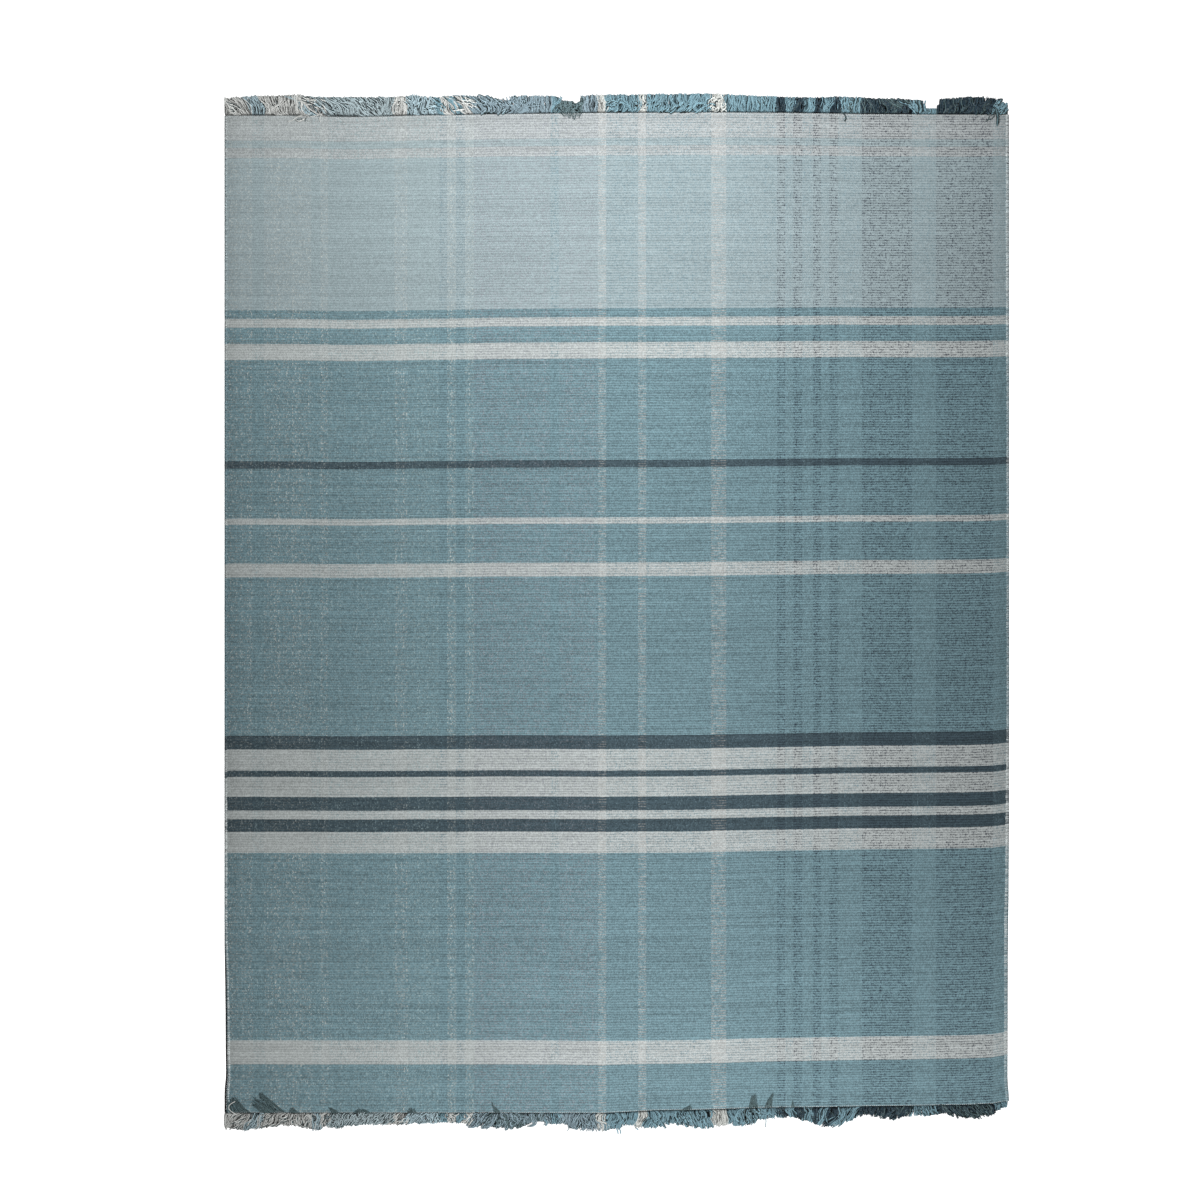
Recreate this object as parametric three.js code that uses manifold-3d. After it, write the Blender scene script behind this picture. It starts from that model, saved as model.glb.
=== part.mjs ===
// Flatweave rug: a flat woven cloth, overcast with yarn along both sides and fringed across both ends.
// Millimetres. +X runs across the rug, +Y along it to the top fringe, and +Z up from the floor.
// The patterned face looks up. The origin is on the floor under the middle of the rug.
import * as THREE from "three";
import { mergeVertices } from "three/addons/utils/BufferGeometryUtils.js";
import Module from "manifold-3d";

const wasm = await Module();
wasm.setup();

// Cloth, and the half width of the whole rug over its two edgings
const HALF_WIDTH = 900;
const CLOTH_THICKNESS = 5;
const CLOTH_EDGE_ROUNDING = 1;

// Spacing of the outline's points along the sides and the ends
const SIDE_STEP = 110;
const END_STEP = 25;

// Overcast edging along each side
const EDGING_WIDTH = 5;
const EDGING_HEIGHT = 5.6;
const EDGING_ROUNDING = 1.5;

// Fringe at each end: a narrow strip of bound warp ends, and the locks that grow out of it
const STRIP_WIDTH = 4;
const STRIP_HEIGHT = 5;
const LOCKS_PER_END = 142;
const LOCK_STEPS = 3;
const LOCK_ROOT_DEPTH = 1.5;
const LOCK_ROOT_WIDTH = 9.4;
const LOCK_TIP_WIDTH = 5.2;
const LOCK_ROOT_HEIGHT = 4.6;
const LOCK_TIP_HEIGHT = 2.6;
const LOCK_TOP_SHARE = 0.72;
const LOCK_CURL = 2.2;
const CURL_SPACING = 61;
const REACH_VARIATION = 0.06;
const REACH_SPACING = 17;

// A lock that lies back over the cloth starts inside the strip, this far out from the cloth and this
// high, and comes out of it just before the cloth's end
const BACK_STEPS = 4;
const BACK_ROOT_OUT = 2.3;
const BACK_ROOT_BASE = 1;
const BACK_CLIMB_OUT = 0.6;
const BACK_ROOT_HEIGHT = 3;
const BACK_TIP_HEIGHT = 1.3;
const BACK_TIP_SHARE = 0.4;

// Clearance between neighbouring pieces
const GAP = 0.3;

// Outer edges of the two sides: x at each y
const LEFT_SIDE = [
  { y: -1151, x: -899 },
  { y: -1040, x: -898.5 },
  { y: -900, x: -898.5 },
  { y: -790, x: -900 },
  { y: 1142, x: -900 },
];
const RIGHT_SIDE = [
  { y: -1123, x: 900 },
  { y: -1040, x: 897.5 },
  { y: -760, x: 897.5 },
  { y: -460, x: 900 },
  { y: 1147, x: 900 },
];

// Woven ends of the cloth: y at each x. The bottom end bows up towards the right.
const TOP_END = [
  { x: -900, y: 1142 },
  { x: -600, y: 1139.5 },
  { x: -245, y: 1146.5 },
  { x: 320, y: 1151 },
  { x: 710, y: 1146.5 },
  { x: 900, y: 1146.5 },
];
const BOTTOM_END = [
  { x: -900, y: -1151 },
  { x: -40, y: -1151 },
  { x: 110, y: -1144 },
  { x: 420, y: -1137.5 },
  { x: 665, y: -1133 },
  { x: 850, y: -1129 },
  { x: 900, y: -1124 },
];

// Fringe: how far the locks reach past the cloth's end, and how far their tips lean to +X for each mm of it
const TOP_FRINGE = [
  { x: -900, reach: 36, lean: -0.05 },
  { x: -866, reach: 41, lean: -0.3 },
  { x: -815, reach: 46, lean: -0.5 },
  { x: -751, reach: 49, lean: -0.15 },
  { x: -659, reach: 46, lean: -0.6 },
  { x: -502, reach: 45, lean: -0.35 },
  { x: -463, reach: 48, lean: -0.05 },
  { x: -424, reach: 41, lean: -0.3 },
  { x: -325, reach: 44, lean: -0.6 },
  { x: -252, reach: 31, lean: -0.2 },
  { x: -222, reach: 42, lean: 0 },
  { x: -148, reach: 42, lean: 0.1 },
  { x: -118, reach: 30, lean: -0.1 },
  { x: -88, reach: 25, lean: 0 },
  { x: -76, reach: 41, lean: 0 },
  { x: 77, reach: 44, lean: 0.35 },
  { x: 215, reach: 44, lean: 0.15 },
  { x: 330, reach: 39, lean: 0 },
  { x: 422, reach: 36, lean: -0.1 },
  { x: 509, reach: 40, lean: 0.1 },
  { x: 617, reach: 37, lean: 0.5 },
  { x: 703, reach: 33, lean: 0.2 },
  { x: 714, reach: 14, lean: 0.1 },
  { x: 736, reach: 14, lean: 0.1 },
  { x: 744, reach: 37, lean: 0.1 },
  { x: 824, reach: 42, lean: 0.2 },
  { x: 882, reach: 35, lean: 0.1 },
  { x: 900, reach: 26, lean: -0.1 },
];
const BOTTOM_FRINGE = [
  { x: -900, reach: 28, lean: 0.1 },
  { x: -850, reach: 40, lean: -0.2 },
  { x: -750, reach: 30, lean: -0.5 },
  { x: -690, reach: 41, lean: -0.1 },
  { x: -640, reach: 34, lean: -0.1 },
  { x: -585, reach: 28, lean: -0.4 },
  { x: -480, reach: 28, lean: -0.4 },
  { x: -400, reach: 21, lean: -0.2 },
  { x: -345, reach: 24, lean: -0.3 },
  { x: -300, reach: 36, lean: -0.4 },
  { x: -222, reach: 36, lean: -0.4 },
  { x: -153, reach: 26, lean: -0.3 },
  { x: -84, reach: 41, lean: -0.1 },
  { x: 8, reach: 45, lean: -0.2 },
  { x: 36, reach: 32, lean: 0 },
  { x: 88, reach: 43, lean: 0.3 },
  { x: 123, reach: 31, lean: 0.3 },
  { x: 187, reach: 43, lean: 0.3 },
  { x: 346, reach: 43, lean: 0 },
  { x: 370, reach: 26, lean: -0.05 },
  { x: 420, reach: 25, lean: -0.1 },
  { x: 491, reach: 43, lean: -0.3 },
  { x: 540, reach: 47, lean: -0.3 },
  { x: 590, reach: 24, lean: 0.2 },
  { x: 638, reach: 34, lean: 0.3 },
  { x: 755, reach: 22, lean: 0.5 },
  { x: 790, reach: 33, lean: 0.45 },
  { x: 852, reach: 30, lean: 0.2 },
  { x: 900, reach: 20, lean: -0.2 },
];

// Locks that lie back over the cloth: how far they reach in from its end, and their lean and width
const TOP_TURNED_BACK = [
  { x: -722, reach: 18, lean: -0.6, width: 12 },
  { x: -105, reach: 16, lean: 0, width: 16 },
  { x: 523, reach: 14, lean: 0.2, width: 5 },
  { x: 877, reach: 34, lean: 0, width: 6 },
];
const BOTTOM_TURNED_BACK = [
  { x: -862, reach: 31, lean: -0.35, width: 13 },
  { x: -806, reach: 36, lean: -0.7, width: 13 },
  { x: -784, reach: 40, lean: -0.8, width: 12 },
  { x: -739, reach: 14, lean: -0.3, width: 11 },
  { x: -277, reach: 23, lean: -0.3, width: 6 },
  { x: 160, reach: 13, lean: 0.3, width: 12 },
  { x: 314, reach: 28, lean: 0, width: 14 },
  { x: 346, reach: 35, lean: 0.3, width: 11 },
];

// Finishes
const CLOTH_FINISH = { color: 0x7d9ba5, roughness: 0.95, metalness: 0 };
const EDGING_FINISH = { color: 0xa9c0c6, roughness: 0.9, metalness: 0 };
const FRINGE_FINISH = { color: 0x6f949e, roughness: 0.9, metalness: 0 };

// A column of a table at a place between its rows, eased from one row to the next.
function between(table, key, column, place) {
  const high = table.findIndex((row) => place <= row[key]);
  if (high < 0) {
    return table[table.length - 1][column];
  }
  const low = Math.max(high - 1, 0);
  const share = THREE.MathUtils.smoothstep(place, table[low][key], table[high][key]);
  return THREE.MathUtils.lerp(table[low][column], table[high][column], share);
}

const leftAt = (y) => between(LEFT_SIDE, "y", "x", y);
const rightAt = (y) => between(RIGHT_SIDE, "y", "x", y);
const topAt = (x) => between(TOP_END, "x", "y", x);
const bottomAt = (x) => between(BOTTOM_END, "x", "y", x);

// Evenly spaced places from one limit to the other, both included, about a step apart.
function places(from, to, step) {
  const count = Math.round(Math.abs(to - from) / step);
  return Array.from({ length: count + 1 }, (_, i) => THREE.MathUtils.lerp(from, to, i / count));
}

// Points along a side of the rug, at a distance in from its outer edge.
function sideLine(sideAt, inset) {
  const corner = sideAt(0) + inset;
  const along = places(bottomAt(corner), topAt(corner), SIDE_STEP);
  return along.map((y) => new THREE.Vector2(sideAt(y) + inset, y));
}

// Points along an end of the rug, from its left edge to its right, at a distance out from the cloth.
function endLine(endAt, out) {
  const along = places(leftAt(endAt(-HALF_WIDTH)), rightAt(endAt(HALF_WIDTH)), END_STEP);
  return along.map((x) => new THREE.Vector2(x, endAt(x) + out));
}

// A flat piece resting on the floor, with its outline given in plan and its edges rounded off.
function slab(outline, height, rounding) {
  const geometry = new THREE.ExtrudeGeometry(new THREE.Shape(outline), {
    depth: height - 2 * rounding,
    bevelEnabled: rounding > 0,
    bevelThickness: rounding,
    bevelSize: rounding,
    bevelOffset: -rounding,
    bevelSegments: 1,
  });
  return geometry.translate(0, 0, rounding);
}

function clothGeometry() {
  const inset = EDGING_WIDTH + GAP;
  const left = sideLine(leftAt, inset);
  const right = sideLine(rightAt, -inset);
  const top = endLine(topAt, 0).slice(1, -1);
  const bottom = endLine(bottomAt, 0).slice(1, -1);
  const outline = [...bottom, ...right, ...top.reverse(), ...left.reverse()];
  return slab(outline, CLOTH_THICKNESS, CLOTH_EDGE_ROUNDING);
}

// inward is +1 for the left side and -1 for the right.
function edgingGeometry(sideAt, inward) {
  const outer = sideLine(sideAt, 0);
  const inner = sideLine(sideAt, inward * EDGING_WIDTH);
  return slab([...outer, ...inner.reverse()], EDGING_HEIGHT, EDGING_ROUNDING);
}

// A box of unit size with steps along its length, each point moved by a rule. The rule is given
// u across the lock from -0.5 to 0.5, t along it from 0 at the root to 1 at the tip, and v from 0
// at its underside to 1 at its top.
function lockGeometry(steps, rule) {
  const geometry = new THREE.BoxGeometry(1, 1, 1, 1, steps, 1);
  const position = geometry.getAttribute("position");
  const point = new THREE.Vector3();
  for (let i = 0; i < position.count; i += 1) {
    point.fromBufferAttribute(position, i);
    const [x, y, z] = rule(point.x, point.y + 0.5, point.z + 0.5);
    position.setXYZ(i, x, y, z);
  }
  return geometry;
}

// A lock lying on the floor. outward is +1 at the top end and -1 at the bottom.
function floorLock(x, endAt, outward, table) {
  const root = endAt(x) + outward * (GAP + STRIP_WIDTH - LOCK_ROOT_DEPTH);
  const variation = 1 + REACH_VARIATION * Math.sin((2 * Math.PI * x) / REACH_SPACING);
  const tip = endAt(x) + outward * between(table, "x", "reach", x) * variation;
  const sway = between(table, "x", "lean", x) * Math.abs(tip - root);
  const curl = LOCK_CURL * Math.sin((2 * Math.PI * x) / CURL_SPACING);
  return lockGeometry(LOCK_STEPS, (u, t, v) => {
    const width = THREE.MathUtils.lerp(LOCK_ROOT_WIDTH, LOCK_TIP_WIDTH, t);
    const height = THREE.MathUtils.lerp(LOCK_ROOT_HEIGHT, LOCK_TIP_HEIGHT, t);
    const across = outward * u * width * THREE.MathUtils.lerp(1, LOCK_TOP_SHARE, v);
    const bend = sway * t + curl * Math.sin(2 * Math.PI * t);
    return [x + bend + across, THREE.MathUtils.lerp(root, tip, t), v * height];
  });
}

// A lock that climbs out of the strip and lies back on the cloth. outward is as above.
function turnedBackLock(row, endAt, outward) {
  const climb = 1 / BACK_STEPS;
  const clothTop = CLOTH_THICKNESS + GAP;
  return lockGeometry(BACK_STEPS, (u, t, v) => {
    const over = Math.max(0, (t - climb) / (1 - climb));
    const inStrip = t < climb;
    const out = inStrip ? BACK_ROOT_OUT : THREE.MathUtils.lerp(BACK_CLIMB_OUT, -row.reach, over);
    const base = inStrip ? BACK_ROOT_BASE : clothTop;
    const width = row.width * THREE.MathUtils.lerp(1, BACK_TIP_SHARE, over * over);
    const height = THREE.MathUtils.lerp(BACK_ROOT_HEIGHT, BACK_TIP_HEIGHT, over);
    const across = -outward * u * width * THREE.MathUtils.lerp(1, LOCK_TOP_SHARE, v);
    return [
      row.x + row.lean * row.reach * over + across,
      endAt(row.x) + outward * out,
      THREE.MathUtils.lerp(base, clothTop + height, v),
    ];
  });
}

function toManifold(geometry) {
  geometry.deleteAttribute("normal");
  geometry.deleteAttribute("uv");
  const merged = mergeVertices(geometry);
  return new wasm.Manifold(
    new wasm.Mesh({
      numProp: 3,
      vertProperties: new Float32Array(merged.getAttribute("position").array),
      triVerts: new Uint32Array(merged.getIndex().array),
    }),
  );
}

function fromManifold(solid) {
  const mesh = solid.getMesh();
  const geometry = new THREE.BufferGeometry();
  geometry.setAttribute("position", new THREE.BufferAttribute(mesh.vertProperties, 3));
  geometry.setIndex(new THREE.BufferAttribute(mesh.triVerts, 1));
  geometry.computeVertexNormals();
  return geometry;
}

// The strip along one end with all its locks fused to it.
function fringeGeometry(endAt, outward, table, turnedBack) {
  const near = endLine(endAt, outward * GAP);
  const far = endLine(endAt, outward * (GAP + STRIP_WIDTH));
  let solid = toManifold(slab([...near, ...far.reverse()], STRIP_HEIGHT, 0));
  const start = near[0].x;
  const pitch = (near[near.length - 1].x - start) / LOCKS_PER_END;
  for (let i = 0; i < LOCKS_PER_END; i += 1) {
    solid = solid.add(toManifold(floorLock(start + pitch * (i + 0.5), endAt, outward, table)));
  }
  for (const row of turnedBack) {
    solid = solid.add(toManifold(turnedBackLock(row, endAt, outward)));
  }
  return fromManifold(solid);
}

function piece(name, geometry, finish) {
  const mesh = new THREE.Mesh(geometry, new THREE.MeshStandardMaterial(finish));
  mesh.name = name;
  return mesh;
}

const rug = new THREE.Group();
rug.name = "flatweave_rug";
rug.add(piece("cloth", clothGeometry(), CLOTH_FINISH));
rug.add(piece("left_edging", edgingGeometry(leftAt, 1), EDGING_FINISH));
rug.add(piece("right_edging", edgingGeometry(rightAt, -1), EDGING_FINISH));
rug.add(piece("fringe_top", fringeGeometry(topAt, 1, TOP_FRINGE, TOP_TURNED_BACK), FRINGE_FINISH));
rug.add(
  piece("fringe_bottom", fringeGeometry(bottomAt, -1, BOTTOM_FRINGE, BOTTOM_TURNED_BACK), FRINGE_FINISH),
);

export default rug;
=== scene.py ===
"""Dresses the flatweave rug: ribbed cloth, overcast sides, stitched ends and two yarn fringes."""

import math
from collections import namedtuple

import bmesh
import bpy
import numpy as np
from bpy.props import FloatProperty, FloatVectorProperty, IntProperty, PointerProperty
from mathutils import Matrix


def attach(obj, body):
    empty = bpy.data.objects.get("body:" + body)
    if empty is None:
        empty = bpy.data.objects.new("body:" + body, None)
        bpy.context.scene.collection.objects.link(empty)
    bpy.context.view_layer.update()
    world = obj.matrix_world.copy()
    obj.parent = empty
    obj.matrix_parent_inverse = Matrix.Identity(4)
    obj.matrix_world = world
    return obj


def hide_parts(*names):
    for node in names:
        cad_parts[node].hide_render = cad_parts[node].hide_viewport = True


bl_info = {
    "name": "Flatweave rug",
    "version": (1, 0, 0),
    "blender": (4, 5, 0),
    "location": "3D View > Sidebar > Rug",
    "description": "Weaves, overcasts and fringes a flat rug around its packed frame",
    "category": "Add Mesh",
}

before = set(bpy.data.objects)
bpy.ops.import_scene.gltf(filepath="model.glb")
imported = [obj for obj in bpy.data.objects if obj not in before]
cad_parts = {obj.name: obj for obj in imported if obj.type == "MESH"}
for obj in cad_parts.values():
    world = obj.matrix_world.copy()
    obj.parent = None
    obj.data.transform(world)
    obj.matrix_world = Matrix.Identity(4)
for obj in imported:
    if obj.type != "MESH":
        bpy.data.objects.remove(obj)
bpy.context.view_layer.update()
BODY = "root"

# Tables and sizes below are millimetres. Blender's own units are metres.
MM = 0.001

# Picture: real size of one photo pixel, and the pixel that shows the rug's origin
PIXEL_MM = 2.3
ORIGIN_PIXEL = (616.5, 612.5)
PICTURE_PIXELS = 1200

# Outer edges of the two sides: y, x
HALF_WIDTH = 900
LEFT_SIDE = (
    (-1151, -902.2), (-1105, -902.2), (-1060, -898.7), (-1000, -899.5), (-920, -899.9), (-870, -900.5),
    (-800, -901.5), (-760, -902.2), (1142, -902.2),
)
RIGHT_SIDE = (
    (-1123, 903.2), (-1070, 899.7), (-960, 900.2), (-800, 900.5), (-720, 901.2), (-640, 902.3),
    (-460, 903.5), (1147, 903.5),
)

# Woven ends of the cloth: x, y
TOP_END = (
    (-900, 1143.2), (-760, 1143), (-613, 1140.2), (-412, 1143.8), (-245, 1147), (8, 1149.4),
    (200, 1150.4), (342, 1149.8), (630, 1146.4), (800, 1145.6), (900, 1146),
)
BOTTOM_END = (
    (-900, -1150.6), (-40, -1151), (110, -1144.8), (420, -1138), (634, -1135), (795, -1132.6),
    (860, -1130), (900, -1124),
)

# Fringes, a row for each change along the end: x, reach past the cloth's end, lean of the tips to +X
# for each mm of reach, sweep of the upper yarns in degrees to +X, and how much those curl
TOP_FRINGE = (
    (-900, 36, -0.2, -55, 0.2), (-866, 41, -0.45, -50, 0.2), (-838, 43, -0.45, -40, 0.25),
    (-815, 46, -0.35, -28, 0.25), (-770, 47, -0.1, -8, 0.3), (-745, 49, -0.05, 5, 0.3),
    (-722, 48, -0.1, -15, 0.3), (-700, 47, -0.4, -62, 0.2), (-659, 46, -0.6, -62, 0.2),
    (-600, 45.5, -0.6, -52, 0.2), (-552, 45, -0.4, -42, 0.2), (-508, 45, 0, -5, 0.2),
    (-482, 46, 0, 0, 0.25), (-463, 48, -0.05, -5, 0.3), (-440, 45, 0, 5, 0.4),
    (-424, 41, -0.2, -15, 0.4), (-390, 42, -0.5, -35, 0.3), (-369, 43, -0.5, -40, 0.3),
    (-348, 44, -0.5, -45, 0.3), (-325, 44, -0.5, -55, 0.3), (-285, 42, -0.3, -35, 0.3),
    (-262, 34, -0.1, -10, 0.5), (-250, 33, 0, 0, 0.6), (-236, 42, 0, 0, 0.6), (-187, 42, 0, 5, 0.3),
    (-153, 42, 0, 0, 0.15), (-141, 41, 0, 5, 0.2), (-124, 31, 0, 10, 0.8), (-110, 28, 0, 0, 0.9),
    (-88, 24, 0, 0, 0.9), (-78, 41, 0, 0, 0.3), (-42, 43, 0, 0, 0.15), (-24, 43, 0, 0, 0.2),
    (8, 43, 0, 5, 0.4), (49, 43, 0, 0, 0.3), (72, 44, 0, 0, 0.3), (109, 44, 0.05, 15, 0.35),
    (169, 44, 0.1, 15, 0.4), (201, 44, 0, -5, 0.4), (217, 44, 0, 0, 0.3), (252, 43, 0, 0, 0.3),
    (266, 42, 0, 0, 0.15), (330, 39, 0, 5, 0.15), (369, 38, 0, 0, 0.2), (387, 37, 0, 5, 0.25),
    (452, 37, 0.05, 10, 0.25), (509, 40, 0, 5, 0.3), (560, 39, 0.05, 5, 0.4), (606, 37, 0, -15, 0.3),
    (660, 36, 0, -20, 0.3), (690, 34, 0, 0, 0.3), (703, 33, 0, 5, 0.3), (712, 14, 0, 0, 0.4),
    (736, 14, 0, 0, 0.4), (744, 37, 0.05, 8, 0.2), (824, 42, 0.1, 18, 0.25), (855, 38, 0.3, 42, 0.4),
    (900, 26, 0, 0, 0.3),
)
BOTTOM_FRINGE = (
    (-900, 30, -0.7, -60, 0.3), (-850, 42, -0.5, -50, 0.3), (-815, 42, -0.35, -28, 0.35),
    (-785, 36, -0.4, -60, 0.4), (-751, 31, -0.1, -20, 0.4), (-716, 37, 0, 0, 0.4),
    (-691, 44, 0.1, 5, 0.4), (-670, 34, 0, -10, 0.6), (-641, 38, 0, -10, 0.8),
    (-613, 31, -0.2, -30, 0.6), (-555, 29, -0.4, -50, 0.4), (-498, 29, -0.4, -45, 0.4),
    (-440, 25, -0.4, -40, 0.5), (-383, 24, 0, -10, 0.6), (-348, 25, -0.3, -35, 0.5),
    (-314, 35, -0.4, -38, 0.5), (-279, 38, -0.3, -35, 0.7), (-245, 38, -0.1, -10, 0.9),
    (-217, 33, 0, 0, 0.9), (-187, 22, 0, 0, 0.5), (-171, 21, 0, 0, 0.5), (-150, 30, -0.1, -10, 0.6),
    (-123, 23, -0.2, -20, 0.5), (-91, 38, -0.3, -25, 0.5), (-61, 43, -0.1, 0, 0.7),
    (-24, 43, -0.1, 0, 0.3), (3, 44, -0.3, -25, 0.4), (26, 33, -0.1, 0, 0.3), (45, 35, -0.15, -10, 0.2),
    (66, 41, -0.2, -20, 0.3), (105, 43, -0.2, -20, 0.3), (123, 32, -0.05, 0, 0.3),
    (158, 39, 0.25, 28, 0.3), (174, 43, 0.3, 20, 0.3), (206, 44, 0.1, 10, 0.3), (235, 40, 0, 0, 0.25),
    (261, 40, 0, 5, 0.3), (296, 41, 0, 0, 0.6), (310, 38, 0, 0, 0.6), (328, 28, 0, 0, 0.6),
    (365, 25, 0.3, 20, 0.4), (399, 24, 0.3, 20, 0.4), (427, 32, 0.1, 10, 0.4), (457, 41, -0.2, -15, 0.4),
    (486, 46, -0.5, -30, 0.3), (532, 49, -0.6, -38, 0.3), (553, 36, -0.5, -30, 0.3),
    (572, 24, -0.2, -15, 0.3), (588, 23, -0.2, -20, 0.3), (611, 29, -0.2, -25, 0.3),
    (636, 34, -0.2, -25, 0.3), (652, 30, -0.2, -20, 0.3), (680, 26, -0.1, -10, 0.2),
    (700, 25, 0.3, 30, 0.2), (755, 21, 0.5, 40, 0.15), (779, 31.5, 0.6, 42, 0.15),
    (804, 33, 0.6, 42, 0.15), (854, 27, 0.4, 42, 0.15), (871, 18, 0.2, 25, 0.2),
    (900, 16, -0.2, 10, 0.2),
)

# Weft order from the top end down: yarn, picks. Two picks make one rib.
WEFT_ORDER = (
    ("top_grey", 20), ("top_blue", 6), ("top_grey", 8), ("aqua", 122), ("mid_teal", 7), ("pale", 7),
    ("mid_teal", 13), ("pale", 13), ("mid_teal", 81), ("navy", 6), ("mid_teal", 40), ("pale", 5),
    ("mid_teal", 31), ("pale", 11), ("mid_teal", 127), ("navy", 11), ("pale", 17), ("navy", 5),
    ("pale", 16), ("navy", 11), ("pale", 7), ("navy", 10), ("pale", 17), ("mid_teal", 150), ("pale", 19),
    ("mid_teal", 38),
)
# How much warp shows through each weft yarn, how uneven its tone is, and how much painted shade darkens its
# grooves
WEFT_CHARACTER = {
    "top_grey": (1.07, 0.72, 0.62), "top_blue": (1.00, 0.60, 0.60), "aqua": (1.07, 0.56, 0.62),
    "mid_teal": (1.02, 1.00, 1.04), "pale": (1.08, 0.70, 0.70), "navy": (0.48, 1.10, 1.00),
}
RIB_PITCH = 5.75
PICK_PITCH = RIB_PITCH / 2
PICKS = sum(picks for _, picks in WEFT_ORDER)
RIBS = PICKS // 2
LENGTH = RIBS * RIB_PITCH

# Warp order from the left side: yarn, ends
WARP_ORDER = (
    ("grey", 27), ("sky", 12), ("grey", 47), ("sky", 9), ("grey", 8), ("haze", 66), ("grey", 13),
    ("sky", 32), ("teal", 8), ("grey", 9), ("teal", 9), ("grey", 9), ("mist", 76), ("teal", 9),
    ("mist", 39), ("ivory", 8), ("teal", 32), ("ivory", 8), ("teal", 65), ("ivory", 15), ("teal", 51),
    ("navy", 8), ("teal", 8), ("navy", 9), ("teal", 11), ("navy", 8), ("teal", 8), ("navy", 9),
    ("teal", 24), ("navy", 50), ("teal", 24), ("navy", 57), ("teal", 15),
)
# How much of each warp yarn shows along the grooves, which also scales the painted groove shade there, and
# how much as single floats
WARP_CHARACTER = {
    "grey": (0.80, 1.2, 0), "sky": (0.80, 1.2, 0), "haze": (0.85, 1.15, 0), "mist": (0.95, 1.0, 0),
    "teal": (1.0, 1.0, 0), "navy": (1.08, 0.9, 0), "ivory": (1.85, 0.3, 0),
}
END_PITCH = 2.3
ENDS = sum(ends for _, ends in WARP_ORDER)

# How far the weft lines ride above the straight lines between the two ends: distance from the top
# end, rise at the left, fall at the right, and what they regain towards the right side
WEFT_BOW = (
    (0, 0, 0, 0), (500, 0.7, 1.5, 2.6), (1000, 1.3, 2.2, 2.6), (1400, 2.2, 2.8, 2.6),
    (2130, 2.8, 3.5, 0.7), (LENGTH, 0, 0, 0),
)
LEFT_BOW = (80, -250)
RIGHT_BOW = (-10, 110)
REGAIN = (350, 540)

# Cloth
CLOTH_INSET = 4.9
CLOTH_COLUMNS = 54
CLOTH_ROUNDING = 0.8
ROWS_PER_RIB = 4
RIB_PROFILE = (0.0, 0.82, 1.0, 0.82)
RIB_SWELL = 0.22
UNDER_RIBS = 8
RIPPLE_CELL = 190
WANDER_CELL = 55
WANDER_RIBS = 2.5
SWELL_CELL = 35
STEADY_END = 30

# Overcast sides: a loop of yarn for each pick, over a core of selvage ends painted near black as the shade
# between the loops. The crest is how high a loop arches, the turn is the share of it that lies over the
# edge, and from the drop it goes down.
EDGING_WIDTH = 5.0
LOOP_STEPS = 6
LOOP_SIDES = 5
LOOP_FOOT = 5.3
LOOP_CREST = 0.8
LOOP_TURN = 0.7
LOOP_DROP = 0.55
LOOP_MARGIN = 1.5
LOOP_SHIFT = 0.5
LOOP_REACH_SHIFT = 0.8
LOOP_SLANTS = (0.3, 2.2)
LOOP_WIDTHS = (0.8, 1.1)
LOOP_PALENESS = (0.4, 1.6)
LOOP_TONES = (0.95, 1.3)
OPEN_DROP = 1.0
CORE_MIDDLE = 2.1
CORE_HEIGHT = 2.85
CORE_RINGS = 120
# y, how far in from the rug's edge the loops start and end, and how pale they are. A loop that ends
# within the wrap limit goes down round the edge, and any other leaves the core bare.
WRAP_LIMIT = 2.0
LEFT_LOOPS = (
    (-1151, 11, 8.2, 0.4), (-1098, 10.5, 6.5, 0.5), (-1040, 9.5, 4.8, 0.7), (-840, 8.5, 4.6, 0.5),
    (-790, 7.5, 3.2, 0.45), (-700, 6.5, 1.5, 0.6), (-450, 6, 1.5, 0.7), (-380, 6, 1.5, 0.1),
    (1142, 6, 1.5, 0.15),
)
RIGHT_LOOPS = (
    (-1123, 7.5, 1.5, 0.28), (-900, 8, 1.5, 0.33), (-700, 9, 1.5, 0.5), (-600, 8, 1.5, 0.5),
    (-480, 8, 1.5, 0.55), (-380, 7, 1.5, 0.5), (-200, 5.8, 1.5, 0.35), (500, 5.8, 1.5, 0.35),
    (650, 7, 1.5, 0.42), (1147, 7.5, 1.5, 0.35),
)

# Stitches along the two ends
STITCH_PITCH = 4.6
STITCH_LENGTHS = (0.6, 0.85)
STITCH_SHIFT = 0.5
STITCH_IN = 1.6
STITCH_IN_SHIFT = 0.35
STITCH_STEPS = 4
STITCH_TOP = 6.0
STITCH_ARCH = 6.0
STITCH_TONES = (0.65, 1.1)

# Fringe yarn. Cells are the distances over which neighbouring bunches bend alike. The steepest is the
# most that a yarn turns, in radians, and near its tip it may turn by the late turn more.
FLOW_CELL = 26.0
SLANT_CELL = 32.0
PHASE_CELL = 22.0
STEEPEST = 1.3
LATE_TURN = 2.0
LEAST_EXTENT = 0.55
ROOT_HEIGHT = 2.4
RISE_OVER = 0.22
FALL_FROM = 0.6
FALL = 0.45
TIP_SHARE = 0.7
TIP_FROM = 0.85
FRINGE_END = 901
FRINGE_END_SHIFT = 4
LAYER_SEEDS = 10
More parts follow.
